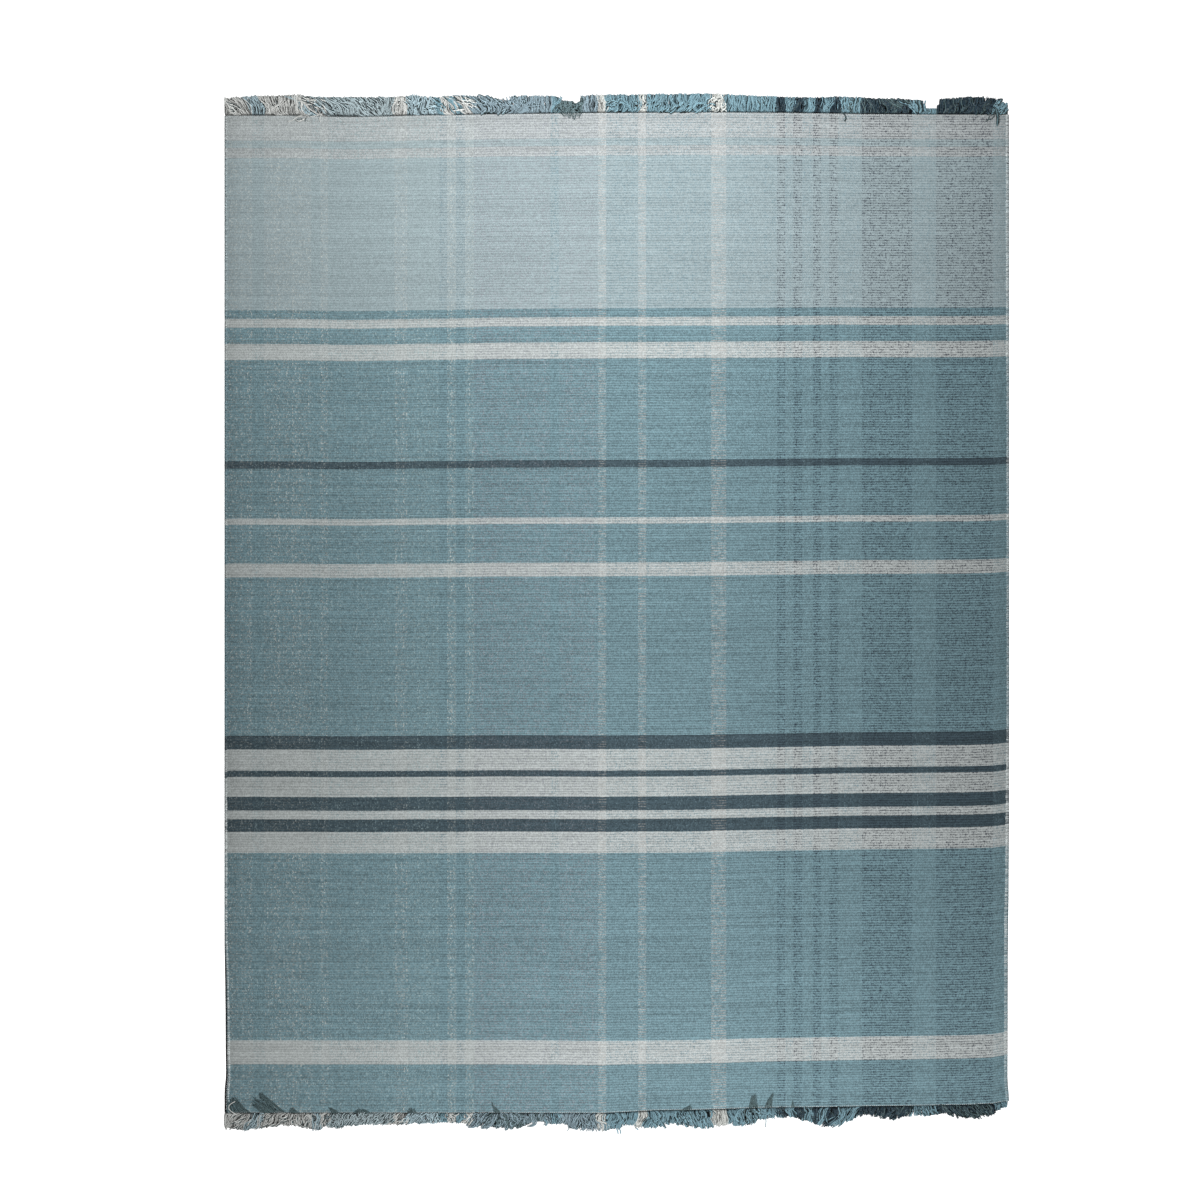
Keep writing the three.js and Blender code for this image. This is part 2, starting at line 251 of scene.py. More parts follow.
# Where the yarns become more ragged: x, and how far they fall short to its left and to its right
TOP_RAGGED = (-450, 0.02, 0.05)
BOTTOM_RAGGED = (440, 0.16, 0.3)
LAYERS = (
    # yarns, sides, steps, radius, lowest height, highest height, shares of reach, sweep and curl,
    # how far a bunch draws together, and tone, which paints the lower layers darker as shade
    (500, 4, 5, 2.5, 2.5, 2.6, 0.965, 0.1, 0.05, 0.0, 0.3),
    (500, 5, 7, 1.3, 4.2, 5.6, 0.985, 0.7, 0.8, 0.1, 0.9),
    (660, 5, 11, 1.2, 6.2, 7.8, 1.0, 1.0, 1.0, 0.25, 0.98),
)
BUNCH_WIDTHS = (3.5, 9.0)
MOST_BUNCHES = 400
# How many yarns have painted gap shade beside them, how many of those a slit, and how open each is
GAP_SHARE = 0.4
GAPS = (0.5, 1.1)
SLIT_SHARE = 0.16
SLIT_GAP = 1.7
# Painted gap shade is as frequent as these add up to: everywhere, for a full sweep, and for a full curl
CLOSED = 0.3
BY_SWEEP = 0.7
BY_CURL = 0.5
# A yarn's heading along its length: it takes up the sweep of its place, slants aside and back, flows
# with its neighbours, bends with its bunch and waves
ROOT_TURN = 0.1
TURN_GAIN = 0.95
TURN_OVER = 0.8
SWING = 0.6
SWING_FROM = 0.4
SWING_FADE = 0.5
SLANT_BY_CURL = 4.2
MOST_SLANT = 1.5
FLOW_RUN = 1.8
FINE_FLOW = 0.5
FINE_ACROSS = 2.7
FINE_ALONG = 1.6
FLOW_EVENED = 0.7
FLOW_BEND = 1.7
BUNCH_BEND = 0.6
WAVES = (0.6, 1.4)
PHASE_DRIFT = 0.4
PHASE_SHIFT = 0.15
WAVE_BEND = 0.10
WAVE_BY_CURL = 1.2
OWN_BEND = 0.02
OWN_BY_CURL = 0.08
LATE_FROM = 0.4
LATE_OVER = 0.3
# How yarns of a layer vary: place in their spacing, reach, lift, root, width and tone
PLACE_SHIFT = 0.12
FULL_REACH = 1.02
REACHES = (0.97, 1.0)
LIFT_SHIFT = 0.15
ROOT_SHIFTS = (-0.2, 0.8)
WIDTHS = (0.88, 1.08)
TONES = (0.86, 1.10)
# Painted shade: the lowest yarns of a layer are darker, down to this share of their tone
LOW_SHADE = 0.9
# How strongly bunches draw together, at most how far, and where along their length
PINCH = 2.4
MOST_PINCH = 0.8
PINCH_SKEW = 0.8
# Yarns that would pass the rug's side are pressed back by this share, and all lift in slow waves
PRESSED_BACK = 0.93
LIFT_WAVE = 0.10
LIFT_WAVES = 1.3

# Yarns that lie across the others in places: first and last x, lowest and highest share of the reach,
# yarns, heading and bend in degrees, run, and how far to the side each one is rooted
TOP_TANGLES = (
    (-898, -866, 0.1, 0.9, 10, -62, 25, 16, 0), (-815, -778, 0.3, 0.9, 6, -30, 20, 14, 0),
    (-728, -686, 0.35, 0.85, 9, -68, 20, 18, -14), (-700, -624, 0.35, 0.9, 16, -60, 25, 20, 0),
    (-655, -642, 0.2, 0.35, 4, -85, 10, 16, 10), (-625, -585, 0.5, 0.95, 8, -55, 25, 14, 0),
    (-585, -535, 0.25, 0.95, 14, -48, 15, 20, 0), (-507, -479, 0.4, 0.8, 4, 80, 60, 5, 0),
    (-481, -468, 0.15, 0.9, 6, -30, -25, 15, 0), (-466, -452, 0.15, 0.9, 6, 25, 25, 15, 0),
    (-444, -420, 0.2, 0.3, 3, -85, 60, 26, 0), (-444, -420, 0.45, 0.55, 3, -85, -60, 26, 0),
    (-424, -392, 0.2, 0.95, 10, -50, 25, 20, 8), (-364, -358, 0.22, 0.3, 4, -90, 14, 27, -16),
    (-360, -345, 0.5, 0.9, 4, -45, 10, 18, 14), (-350, -305, 0.3, 0.8, 14, -66, 30, 24, 0),
    (-314, -268, 0.4, 0.95, 14, -45, 20, 18, 0), (-315, -258, 0.0, 0.3, 10, 50, -60, 14, 0),
    (-250, -210, 0.6, 1.0, 14, 0, 150, 12, 0), (-200, -178, 0.35, 0.65, 4, 80, 40, 10, 0),
    (-133, -78, 0.0, 0.9, 26, 0, 110, 10, 0), (-20, 12, 0.1, 0.8, 14, 60, 140, 15, 0),
    (44, 76, 0.1, 0.9, 10, 0, 200, 12, 0), (88, 128, 0.0, 0.4, 12, 55, -60, 14, 0),
    (128, 174, 0.0, 0.5, 12, 50, -60, 20, 0), (180, 222, 0.0, 0.6, 9, 50, 90, 25, 0),
    (206, 250, 0.05, 0.9, 14, 60, 180, 18, 0), (318, 341, 0.45, 0.8, 5, -45, 0, 16, 0),
    (394, 417, 0.2, 0.9, 7, 35, -15, 18, 0), (516, 551, 0.3, 0.8, 10, 0, 120, 16, 0),
    (624, 682, 0.2, 0.9, 12, -65, 35, 24, 0), (640, 684, 0.1, 0.7, 8, -68, 30, 24, 34),
    (680, 714, 0.2, 0.9, 6, -25, 0, 14, 0), (750, 845, 0.1, 0.9, 14, 22, 0, 18, 0),
    (848, 897, 0.1, 0.9, 16, 45, 0, 18, 0),
)
BOTTOM_TANGLES = (
    (-893, -857, 0.1, 0.9, 9, -60, 20, 22, 0), (-852, -815, 0.0, 0.7, 8, -25, -20, 22, 0),
    (-824, -762, 0.2, 0.9, 9, -70, -40, 20, 0), (-762, -714, 0.1, 0.9, 8, -20, 110, 14, 0),
    (-716, -686, 0.1, 0.9, 8, 0, 20, 20, 0), (-677, -625, 0.0, 0.8, 16, -20, 130, 16, 0),
    (-625, -571, 0.0, 0.8, 12, -45, 60, 16, 0), (-571, -498, 0.1, 0.8, 14, -50, 20, 14, 0),
    (-493, -440, 0.1, 0.9, 10, -45, 20, 16, 0), (-440, -384, 0.1, 0.9, 9, 0, 110, 16, 0),
    (-384, -362, 0.2, 0.8, 5, 60, 120, 18, 0), (-346, -268, 0.0, 0.8, 26, -35, 20, 20, 0),
    (-280, -222, 0.0, 0.9, 24, 0, 160, 18, 0), (-222, -130, 0.1, 0.8, 12, 0, 60, 14, 0),
    (-130, -84, 0.1, 0.9, 10, -20, 0, 20, 0), (-79, -47, 0.1, 0.8, 12, 0, 150, 14, 0),
    (-24, 20, 0.1, 0.8, 8, -40, 90, 14, 0), (77, 169, 0.2, 0.95, 16, 30, 0, 18, 0),
    (169, 226, 0.2, 0.9, 8, 25, 0, 18, 0), (261, 330, 0.1, 0.8, 14, 20, 120, 14, 0),
    (367, 457, 0.1, 0.9, 16, 20, 20, 14, 4), (457, 514, 0.1, 0.9, 8, 15, 0, 18, 0),
    (583, 664, 0.1, 0.9, 8, -25, 0, 10, 0), (666, 756, 0.1, 0.9, 12, 35, 0, 14, 0),
    (756, 860, 0.1, 0.9, 20, 42, 0, 18, 0),
)
TANGLE_STEPS = 8
TANGLE_RADIUS = 1.3
TANGLE_FOOT = 6.2
TANGLE_ARCH = 2.2
TANGLE_ARCH_SHIFTS = (-0.5, 0.8)
TANGLE_BENDS = (0.5, 1.3)
TANGLE_RUNS = (0.7, 1.2)
TANGLE_TURN = 12
TANGLE_ROOTS = (-1, 1.5)
TANGLE_REACH = 0.98
TANGLE_WIDTHS = (0.85, 1.1)
# Tangles are painted lighter than the yarns below them, as a highlight
TANGLE_HIGHLIGHTS = (1.0, 1.25)
TANGLE_GAP = 0.4
# A tangle that bends more than this may curl either way
LOOPED = 100
# The yarn beside each, painted dark as the shadow where the yarns below part: how far off in radii, how far
# below, and its shares of radius and tone
SHADOW_BESIDE = 1.8
SHADOW_BELOW = 0.5
SHADOW_RADIUS = 0.85
SHADOW_TONE = 0.6
SHADOW_GAP = 0.6

# Locks of dark yarn in the fringe: first root, last root, share of dark yarn
TOP_DARK = (
    (-133, -76, 1.0), (206, 250, 0.1), (516, 565, 0.2), (566, 680, 0.3), (680, 735, 0.15),
    (735, 866, 0.08),
)
BOTTOM_DARK = ((-292, -164, 0.3), (295, 331, 0.3), (566, 680, 0.15), (735, 866, 0.45))

# Wisps that lie back on the cloth: first and last root, the tips of those two yarns, their rise onto the
# cloth, yarns, and bend, which is 1 for a straight wisp and more for one that turns near its tip
# Painted shade: the wisps are dark yarns laid over the cloth where it looks shaded
TOP_WISPS = (
    (-130, -114, -122, -118, 7, 9, 6, 1.0), (-116, -100, -111, -107, 11, 13, 8, 1.0),
    (-104, -90, -99, -95, 14, 16, 7, 1.2), (-92, -76, -88, -84, 13, 9, 7, 1.0),
)
BOTTOM_WISPS = (
    (-897, -839, -896, -877, 29, 35, 46, 0.9), (-794, -757, -822, -816, 42, 46, 28, 1.0),
    (-803, -779, -838, -832, 37, 39, 12, 1.0), (-813, -783, -838, -826, 22, 30, 22, 0.9),
    (-753, -728, -748, -742, 12, 10, 16, 1.0), (-654, -638, -662, -656, 13, 11, 14, 1.5),
    (-606, -563, -592, -580, 10, 8, 22, 1.0), (-482, -458, -474, -466, 11, 10, 14, 1.0),
    (-281, -266, -287, -285, 26, 18, 12, 1.4), (146, 174, 168, 170, 9, 12, 15, 1.0),
    (302, 327, 310.5, 321, 29, 32, 28, 0.8), (342, 357, 359, 361, 31, 34, 14, 1.7),
    (401, 411, 405, 407, 16, 12, 7, 1.0),
)
WISP_ROOT_HEIGHT = 3.0
WISP_HEIGHT = 6.4
WISP_RADIUS = 0.6
WISP_TAPER = 0.5
WISP_STEPS = 7
WISP_SPREAD = 0.6
WISP_RISE_OVER = 0.12
WISP_ROOT_IN = 1.5
WISP_SHORTEST = 0.4
WISP_LIFTS = (-0.2, 0.8)
WISP_WIDTHS = (0.8, 1.1)
WISP_TONES = (0.8, 1.15)

# Single yarns that stray: share of dark yarn, tone, radius, and the line as x and distance onto the cloth
TOP_STRAYS = (
    (0.0, 1.1, 1.0, (-704, -8), (-706, -3), (-715, 1), (-735, 4), (-744, 11), (-757, 15)),
    (0.0, 1.1, 1.0, (-674, -8), (-684, -2), (-712, 4), (-722, 9), (-732, 15)),
    (0.0, 1.0, 0.9, (-709, -8), (-712, -3), (-727, 0), (-738, 7), (-730, 14), (-719, 9)),
    (1.0, 0.5, 0.8, (-698, -4), (-706, 2), (-720, 7), (-738, 9)), (1.0, 0.5, 0.7, (-712, 2), (-716, 13)),
    (0.0, 1.1, 0.9, (-677, -6), (-679, -1), (-683, 5), (-681, 14)),
    (1.0, 0.5, 1.3, (512, -10), (519, -2), (526, 5), (527, 12), (524, 18)),
    (0.6, 0.9, 1.5, (872, -14), (874, -6), (876, 2), (876.5, 12), (875, 27)),
    (1.0, 0.4, 0.9, (869, -14), (872, -5), (873.5, 3), (874, 13), (873, 24)),
    (1.0, 0.4, 0.9, (876, -10), (878, -3), (879, 4), (879, 14), (878, 22)),
    (1.0, 0.7, 0.8, (868, -6), (866, 0), (858, 4), (855, 10), (861, 14)),
    (1.0, 0.8, 0.8, (869, -4), (868, 4), (863, 10), (855, 13), (848, 16)),
)
BOTTOM_STRAYS = (
   
    (0.0, 1.3, 1.1, (-868, -8), (-879, -1), (-888, 5), (-891.5, 11), (-890.5, 17), (-885, 22), (-877, 26)),
    # Painted shadow: a dark yarn beside the pale one above
    (1.0, 0.3, 0.8, (-890, 12), (-888, 17), (-883, 21), (-875, 24.5)),
    (0.0, 1.0, 1.5, (-2, -24), (0, -36), (3, -45), (4, -50)),
    (0.0, 0.9, 1.5, (2, -26), (6, -36), (9, -44), (10, -50)),
    (0.3, 1.0, 0.9, (-100, -16), (-106, -30), (-113, -42)),
    (0.3, 1.0, 0.9, (341, -14), (344, -30), (343, -45)),
    (0.0, 1.0, 1.5, (40, -20), (42, -30), (45, -38), (50, -44)),
)
STRAY_STEPS = 16
# Height of a stray yarn by its distance onto the cloth
STRAY_HEIGHTS = ((-50, 1.2), (-34, 3.0), (-10, 8.2), (0, 8.0), (4, 6.8))

# Parts of the bake map's square: left, low, right and high
FACE_BAKE = (0.01, 0.01, 0.73, 0.99)
UNDER_BAKE = (0.75, 0.01, 0.99, 0.99)
LOOPS_BAKE = (0, 0, 1, 0.9)
CORE_BAKE = (0, 0.91, 1, 1)
LAYER_BAKE = 0.28
LAYER_BAKE_GAP = 0.005
SHADOW_BAKE = (0, 0.84, 1, 0.875)
TANGLE_BAKE = (0, 0.8785, 1, 0.91)
WISP_BAKE = (0, 0.915, 1, 0.965)
STRAY_BAKE = (0, 0.97, 1, 1)


# Settings

def length(name, description, millimetres):
    default = millimetres * MM
    return FloatProperty(name=name, description=description, unit="LENGTH", min=0.0, default=default)


def colour(name, description, default):
    return FloatVectorProperty(
        name=name, description=description, subtype="COLOR", size=3, min=0.0, max=1.0, default=default
    )


class RugYarns(bpy.types.PropertyGroup):
    """Colours of the yarns, as linear light"""

    weft_top_grey: colour("Top grey weft", "First bands at the top end", (0.420, 0.455, 0.462))
    weft_top_blue: colour("Top blue weft", "Narrow blue band near the top end", (0.349, 0.425, 0.445))
    weft_aqua: colour("Aqua weft", "Light field below the top bands", (0.332, 0.411, 0.434))
    weft_mid_teal: colour("Teal weft", "Main ground of the rug", (0.175, 0.285, 0.324))
    weft_pale: colour("Pale weft", "Pale cross bands", (0.478, 0.515, 0.513))
    weft_navy: colour("Navy weft", "Dark cross bands", (0.054, 0.086, 0.105))
    warp_grey: colour("Grey warp", "Pale stripes at the left", (0.507, 0.558, 0.542))
    warp_sky: colour("Sky warp", "Light blue stripes", (0.349, 0.455, 0.469))
    warp_haze: colour("Haze warp", "Mixed blue and grey stripe", (0.337, 0.443, 0.461))
    warp_mist: colour("Mist warp", "Light teal stripes", (0.325, 0.347, 0.383))
    warp_teal: colour("Teal warp", "Teal stripes", (0.215, 0.319, 0.363))
    warp_navy: colour("Navy warp", "Dark stripes at the right", (0.017, 0.019, 0.045))
    warp_ivory: colour("Ivory warp", "Ivory stripes", (0.606, 0.599, 0.578))
    fringe_grey: colour("Grey fringe", "Loose ends of the grey warp", (0.67, 0.685, 0.665))
    fringe_sky: colour("Sky fringe", "Loose ends of the sky warp", (0.44, 0.575, 0.63))
    fringe_haze: colour("Haze fringe", "Loose ends of the haze warp", (0.45, 0.55, 0.58))
    fringe_mist: colour("Mist fringe", "Loose ends of the mist warp", (0.285, 0.385, 0.44))
    fringe_teal: colour("Teal fringe", "Loose ends of the teal warp", (0.222, 0.375, 0.44))
    fringe_navy: colour("Navy fringe", "Loose ends of the navy warp", (0.033, 0.061, 0.083))
    fringe_ivory: colour("Ivory fringe", "Loose ends of the ivory warp", (0.69, 0.71, 0.68))
    fringe_dark: colour("Dark yarn", "Dark locks and wisps", (0.115, 0.178, 0.188))
    edging_pale: colour("Edging yarn", "Overcast loops and end stitches", (0.82, 0.87, 0.87))
    # Painted shade: the core's near-black stands for the shade between the loops
    edging_dark: colour("Selvage", "Core under the overcast loops", (0.022, 0.022, 0.022))


class RugCloth(bpy.types.PropertyGroup):
    """Sizes of the woven cloth"""

    groove_height: length("Groove height", "Height of the grooves over the floor", 4.35)
    rib_height: length("Rib height", "Height of a rib over its grooves", 0.85)
    ripple_height: length("Ripple height", "Slow unevenness of the lying cloth", 0.45)
    wander_width: length("Wander", "How far a rib strays from its line", 0.3)


class RugEdging(bpy.types.PropertyGroup):
    """Sizes of the overcast sides and stitched ends"""

    loop_radius: length("Loop radius", "Radius of the overcasting yarn", 1.5)
    core_radius: length("Core radius", "Radius of the selvage core", 2.0)
    stitch_radius: length("Stitch radius", "Radius of the thread along the ends", 0.62)


class RugFringe(bpy.types.PropertyGroup):
    """Shape of the two fringes"""

    top_seed: IntProperty(name="Top seed", description="Draw of the top fringe", default=31)
    bottom_seed: IntProperty(name="Bottom seed", description="Draw of the bottom fringe", default=41)
    top_parting: FloatProperty(
        name="Top parting", description="How far the top end's bunches part", subtype="FACTOR", default=0.45
    )
    bottom_parting: FloatProperty(
        name="Bottom parting", description="How far the bottom end's part", subtype="FACTOR", default=1.0
    )
    top_tone: FloatProperty(name="Top tone", description="Lightness of the top end's yarns", default=1.07)
    bottom_tone: FloatProperty(
        name="Bottom tone", description="Lightness of the bottom end's yarns", default=0.90
    )
    length_share: FloatProperty(
        name="Length", description="Share of the tabled reach", subtype="FACTOR", min=0.5, max=1.0,
        default=1.0,
    )


class RugStage(bpy.types.PropertyGroup):
    """Lights and floor"""

    lens: FloatProperty(name="Lens", description="Focal length", unit="CAMERA", min=35.0, default=85.0)
    floor_light: FloatProperty(name="Floor light", description="Strength of the floor wash", default=4.6)
    room_light: FloatProperty(name="Room light", description="Strength of the even light", default=0.10)
    key_power: FloatProperty(name="Key power", description="Share of the tabled power", default=1.0)


class RugSettings(bpy.types.PropertyGroup):
    """All the rug's settings"""

    yarns: PointerProperty(type=RugYarns)
    cloth: PointerProperty(type=RugCloth)
    edging: PointerProperty(type=RugEdging)
    fringe: PointerProperty(type=RugFringe)
    stage: PointerProperty(type=RugStage)


def yarn_colours(settings, kind):
    """Colours of one kind of yarn by name, such as warp."""
    names = [name for name in RugYarns.__annotations__ if name.startswith(kind)]
    return {name[len(kind) + 1 :]: tuple(getattr(settings.yarns, name)) for name in names}


# Plan of the rug

def ease(share):
    share = np.clip(share, 0.0, 1.0)
    return share * share * (3 - 2 * share)


def between(table, places, column=1):
    """A column of a table at the places given, eased from one row to the next."""
    keys = np.array([row[0] for row in table], float)
    values = np.array([row[column] for row in table], float)
    places = np.clip(np.asarray(places, float), keys[0], keys[-1])
    high = np.clip(np.searchsorted(keys, places), 1, len(keys) - 1)
    share = ease((places - keys[high - 1]) / (keys[high] - keys[high - 1]))
    return values[high - 1] + (values[high] - values[high - 1]) * share


def soft_noise(seed, *places):
    """Smooth noise from -1 to 1. Each place is measured in cells, in one or two directions."""
    rng = np.random.default_rng(seed)
    places = [np.asarray(p, float) - np.min(p) for p in places]
    if len(places) == 1:
        places.append(np.zeros_like(places[0]))
    a, b = places
    grid = rng.uniform(-1, 1, (int(a.max()) + 2, int(b.max()) + 2))
    i, j = a.astype(int), b.astype(int)
    p, q = ease(a - i), ease(b - j)
    low = grid[i, j] * (1 - p) + grid[i + 1, j] * p
    high = grid[i, j + 1] * (1 - p) + grid[i + 1, j + 1] * p
    return low * (1 - q) + high * q


def weft_line(x, down):
    """y of the weft line that lies a distance down from the top end, at each x."""
    share = down / LENGTH
    straight = between(TOP_END, x) * (1 - share) + between(BOTTOM_END, x) * share
    left = ease((x - LEFT_BOW[0]) / (LEFT_BOW[1] - LEFT_BOW[0]))
    right = ease((x - RIGHT_BOW[0]) / (RIGHT_BOW[1] - RIGHT_BOW[0]))
    regain = ease((x - REGAIN[0]) / (REGAIN[1] - REGAIN[0]))
    bow = between(WEFT_BOW, down, 1) * left - between(WEFT_BOW, down, 2) * right
    return straight + bow + between(WEFT_BOW, down, 3) * regain


def side_shift(x, y):
    """How far the left side's drift moves a warp end that would lie at x."""
    drift = between(LEFT_SIDE, y) - LEFT_SIDE[-1][1]
    return drift * ease(-x / HALF_WIDTH)


# Materials

RAMP_THREADS = 255


class Value:
    """A number or colour at each point of a surface, with arithmetic that adds nodes to its sheet."""

    def __init__(self, sheet, socket):
        self.sheet = sheet
        self.socket = socket

    def __add__(self, other):
        return self.sheet.math("ADD", self, other)

    def __sub__(self, other):
        return self.sheet.math("SUBTRACT", self, other)

    def __rsub__(self, other):
        return self.sheet.math("SUBTRACT", other, self)

    def __mul__(self, other):
        return self.sheet.math("MULTIPLY", self, other)

    def __truediv__(self, number):
        return self * (1 / number)

    def __abs__(self):
        return self.sheet.math("ABSOLUTE", self)

    __radd__ = __add__
    __rmul__ = __mul__

    def floor(self):
        return self.sheet.math("FLOOR", self)

    def sine(self):
        return self.sheet.math("SINE", self)

    def cosine(self):
        return self.sheet.math("COSINE", self)

    def at_most(self, other):
        return self.sheet.math("MINIMUM", self, other)

    def at_least(self, other):
        return self.sheet.math("MAXIMUM", self, other)

    def ranged(self, low, high, to_low=0.0, to_high=1.0):
        """Goes smoothly from one number to another while the value goes from low to high."""
        made = self.sheet.node("ShaderNodeMapRange", interpolation_type="SMOOTHSTEP")
        self.sheet.link(self, made.inputs["Value"])
        numbers = {"From Min": low, "From Max": high, "To Min": to_low, "To Max": to_high}
        for socket, number in numbers.items():
            made.inputs[socket].default_value = number
        return Value(self.sheet, made.outputs["Result"])


class Sheet:
    """A material's node tree, built a node at a time."""

    def __init__(self, name, roughness, sheen, gloss):
        self.material = bpy.data.materials.new(name)
        self.material.use_nodes = True
        self.tree = self.material.node_tree
        self.shader = self.tree.nodes["Principled BSDF"]
        self.shader.inputs["Roughness"].default_value = roughness
        self.shader.inputs["Sheen Weight"].default_value = sheen
        self.shader.inputs["Sheen Roughness"].default_value = 0.6
        self.shader.inputs["Specular IOR Level"].default_value = gloss

    def link(self, source, socket):
        if isinstance(source, Value):
            source = source.socket
        if isinstance(source, bpy.types.NodeSocket):
            self.tree.links.new(source, socket)
        else:
            socket.default_value = source

    def node(self, kind, **settings):
        made = self.tree.nodes.new(kind)
        for name, value in settings.items():
            setattr(made, name, value)
        return made

    def split(self, uv_map):
        """Both numbers of a UV map."""
        uv = self.node("ShaderNodeUVMap", uv_map=uv_map)
        made = self.node("ShaderNodeSeparateXYZ")
        self.link(uv.outputs["UV"], made.inputs[0])
        return Value(self, made.outputs["X"]), Value(self, made.outputs["Y"])

    def math(self, operation, a, b=0.0):
        made = self.node("ShaderNodeMath", operation=operation)
        self.link(a, made.inputs[0])
        self.link(b, made.inputs[1])
        return Value(self, made.outputs[0])

    def pair(self, x, y):
        made = self.node("ShaderNodeCombineXYZ")
        self.link(x, made.inputs[0])
        self.link(y, made.inputs[1])
        return made.outputs[0]

    def noise(self, *place, scale=1.0, detail=1.0):
        """Smooth noise from 0 to 1 at a place, which is a vector in space or an x and a y."""
        flat = len(place) == 2
        made = self.node("ShaderNodeTexNoise", noise_dimensions="2D" if flat else "3D")
        self.link(self.pair(*place) if flat else place[0], made.inputs["Vector"])
        made.inputs["Scale"].default_value = scale
        made.inputs["Detail"].default_value = detail
        return Value(self, made.outputs["Fac"])

    def speckle(self, x, y):
        """A number from 0 to 1 of its own for each whole x and y."""
        made = self.node("ShaderNodeTexWhiteNoise", noise_dimensions="2D")
        self.link(self.pair(x, y), made.inputs["Vector"])
        return Value(self, made.outputs["Value"])

    def mix(self, share, a, b):
        made = self.node("ShaderNodeMix", data_type="RGBA")
        self.link(share, made.inputs["Factor"])
        for source, socket in ((a, made.inputs[6]), (b, made.inputs[7])):
            self.link((*source, 1.0) if isinstance(source, tuple) else source, socket)
        return Value(self, made.outputs[2])

    def shaded(self, tint, factor):
        """The colour multiplied by a factor."""
        made = self.node("ShaderNodeVectorMath", operation="SCALE")
        self.link(tint, made.inputs[0])
        self.link(factor, made.inputs["Scale"])
        return Value(self, made.outputs[0])

    def channels(self, tint):
        """The three numbers that a colour holds."""
        made = self.node("ShaderNodeSeparateColor")
        self.link(tint, made.inputs[0])
        return [Value(self, output) for output in made.outputs[:3]]

    def stripes(self, thread, order, yarns):
        """Colour of the thread with this whole number. Each ramp holds one run of threads, so that
        the edges of the stripes fall between threads."""
        starts = []
        first = 0
        for yarn, threads in order:
            starts.append((first, yarns[yarn]))
            first += threads
        tint = None
        for low in range(0, first, RAMP_THREADS):
            ramp = self.node("ShaderNodeValToRGB")
            ramp.color_ramp.interpolation = "CONSTANT"
            stops = ramp.color_ramp.elements
            stops.remove(stops[-1])
            before = [stripe for stripe in starts if stripe[0] <= low][-1]
            inside = [stripe for stripe in starts if low < stripe[0] < low + RAMP_THREADS]
            stops[0].position = 0.0
            stops[0].color = (*before[1], 1.0)
            for start, stripe in inside:
                stop = stops.new((start - low - 0.5) / RAMP_THREADS)
                stop.color = (*stripe, 1.0)
            self.link(self.math("DIVIDE", thread + (0.5 - low), RAMP_THREADS), ramp.inputs["Fac"])
            run = Value(self, ramp.outputs["Color"])
            past = None if tint is None else self.math("GREATER_THAN", thread, low - 0.5)
            tint = run if tint is None else self.mix(past, tint, run)
        return tint

    def bump(self, height, distance, strength):
        made = self.node("ShaderNodeBump")
        made.inputs["Distance"].default_value = distance
        made.inputs["Strength"].default_value = strength
        self.link(height, made.inputs["Height"])
        self.link(made.outputs["Normal"], self.shader.inputs["Normal"])

    def finish(self, tint):
        self.link(tint, self.shader.inputs["Base Color"])
        return self.material


# How strongly each kind of unevenness lightens and darkens the weft
TONE = {"pick": 0.20, "streak": 0.42, "slub": 0.28, "grain": 0.50, "mottle": 0.10, "fibre": 0.16}
# Unevenness along the rows: its length in mm, how far its noise moves on from a row to the next, detail
RUNS = {
    "dash": (17, 5.37, 2.0), "fine_dash": (4.5, 9.13, 1.0), "edge": (9, 0.71, 1.0),
    "streak": (150, 3.71, 2.0), "slub": (14, 7.93, 2.0),
}
MOTTLE_CELL = 160
# Distance from the middle of a groove, in ribs, at which its warp and painted shade start to fade and have
# gone
GROOVE_FADE = (0.04, 0.27)
# How far a band's edge wanders
EDGE_WANDER = 1.6
# The most that warp shows, and the most that it scales a groove's painted shade
MOST_SEEN = 0.95
# Where noise starts and ends to make a dash, a fine dash within it and a single float
DASH_FROM = (0.36, 0.58)
FINE_DASH_FROM = (0.38, 0.62)
FLOAT_FROM = (0.70, 0.95)
# Warp seen along a groove, and the painted shade that darkens the groove: without a dash, and what a dash
# adds
SEEN = (0.06, 0.60)
GROOVE_SHADOW = (0.26, 0.20)
# How much of the floats every warp end shows, and what some ends add to it
PEEP = (0.08, 0.55)


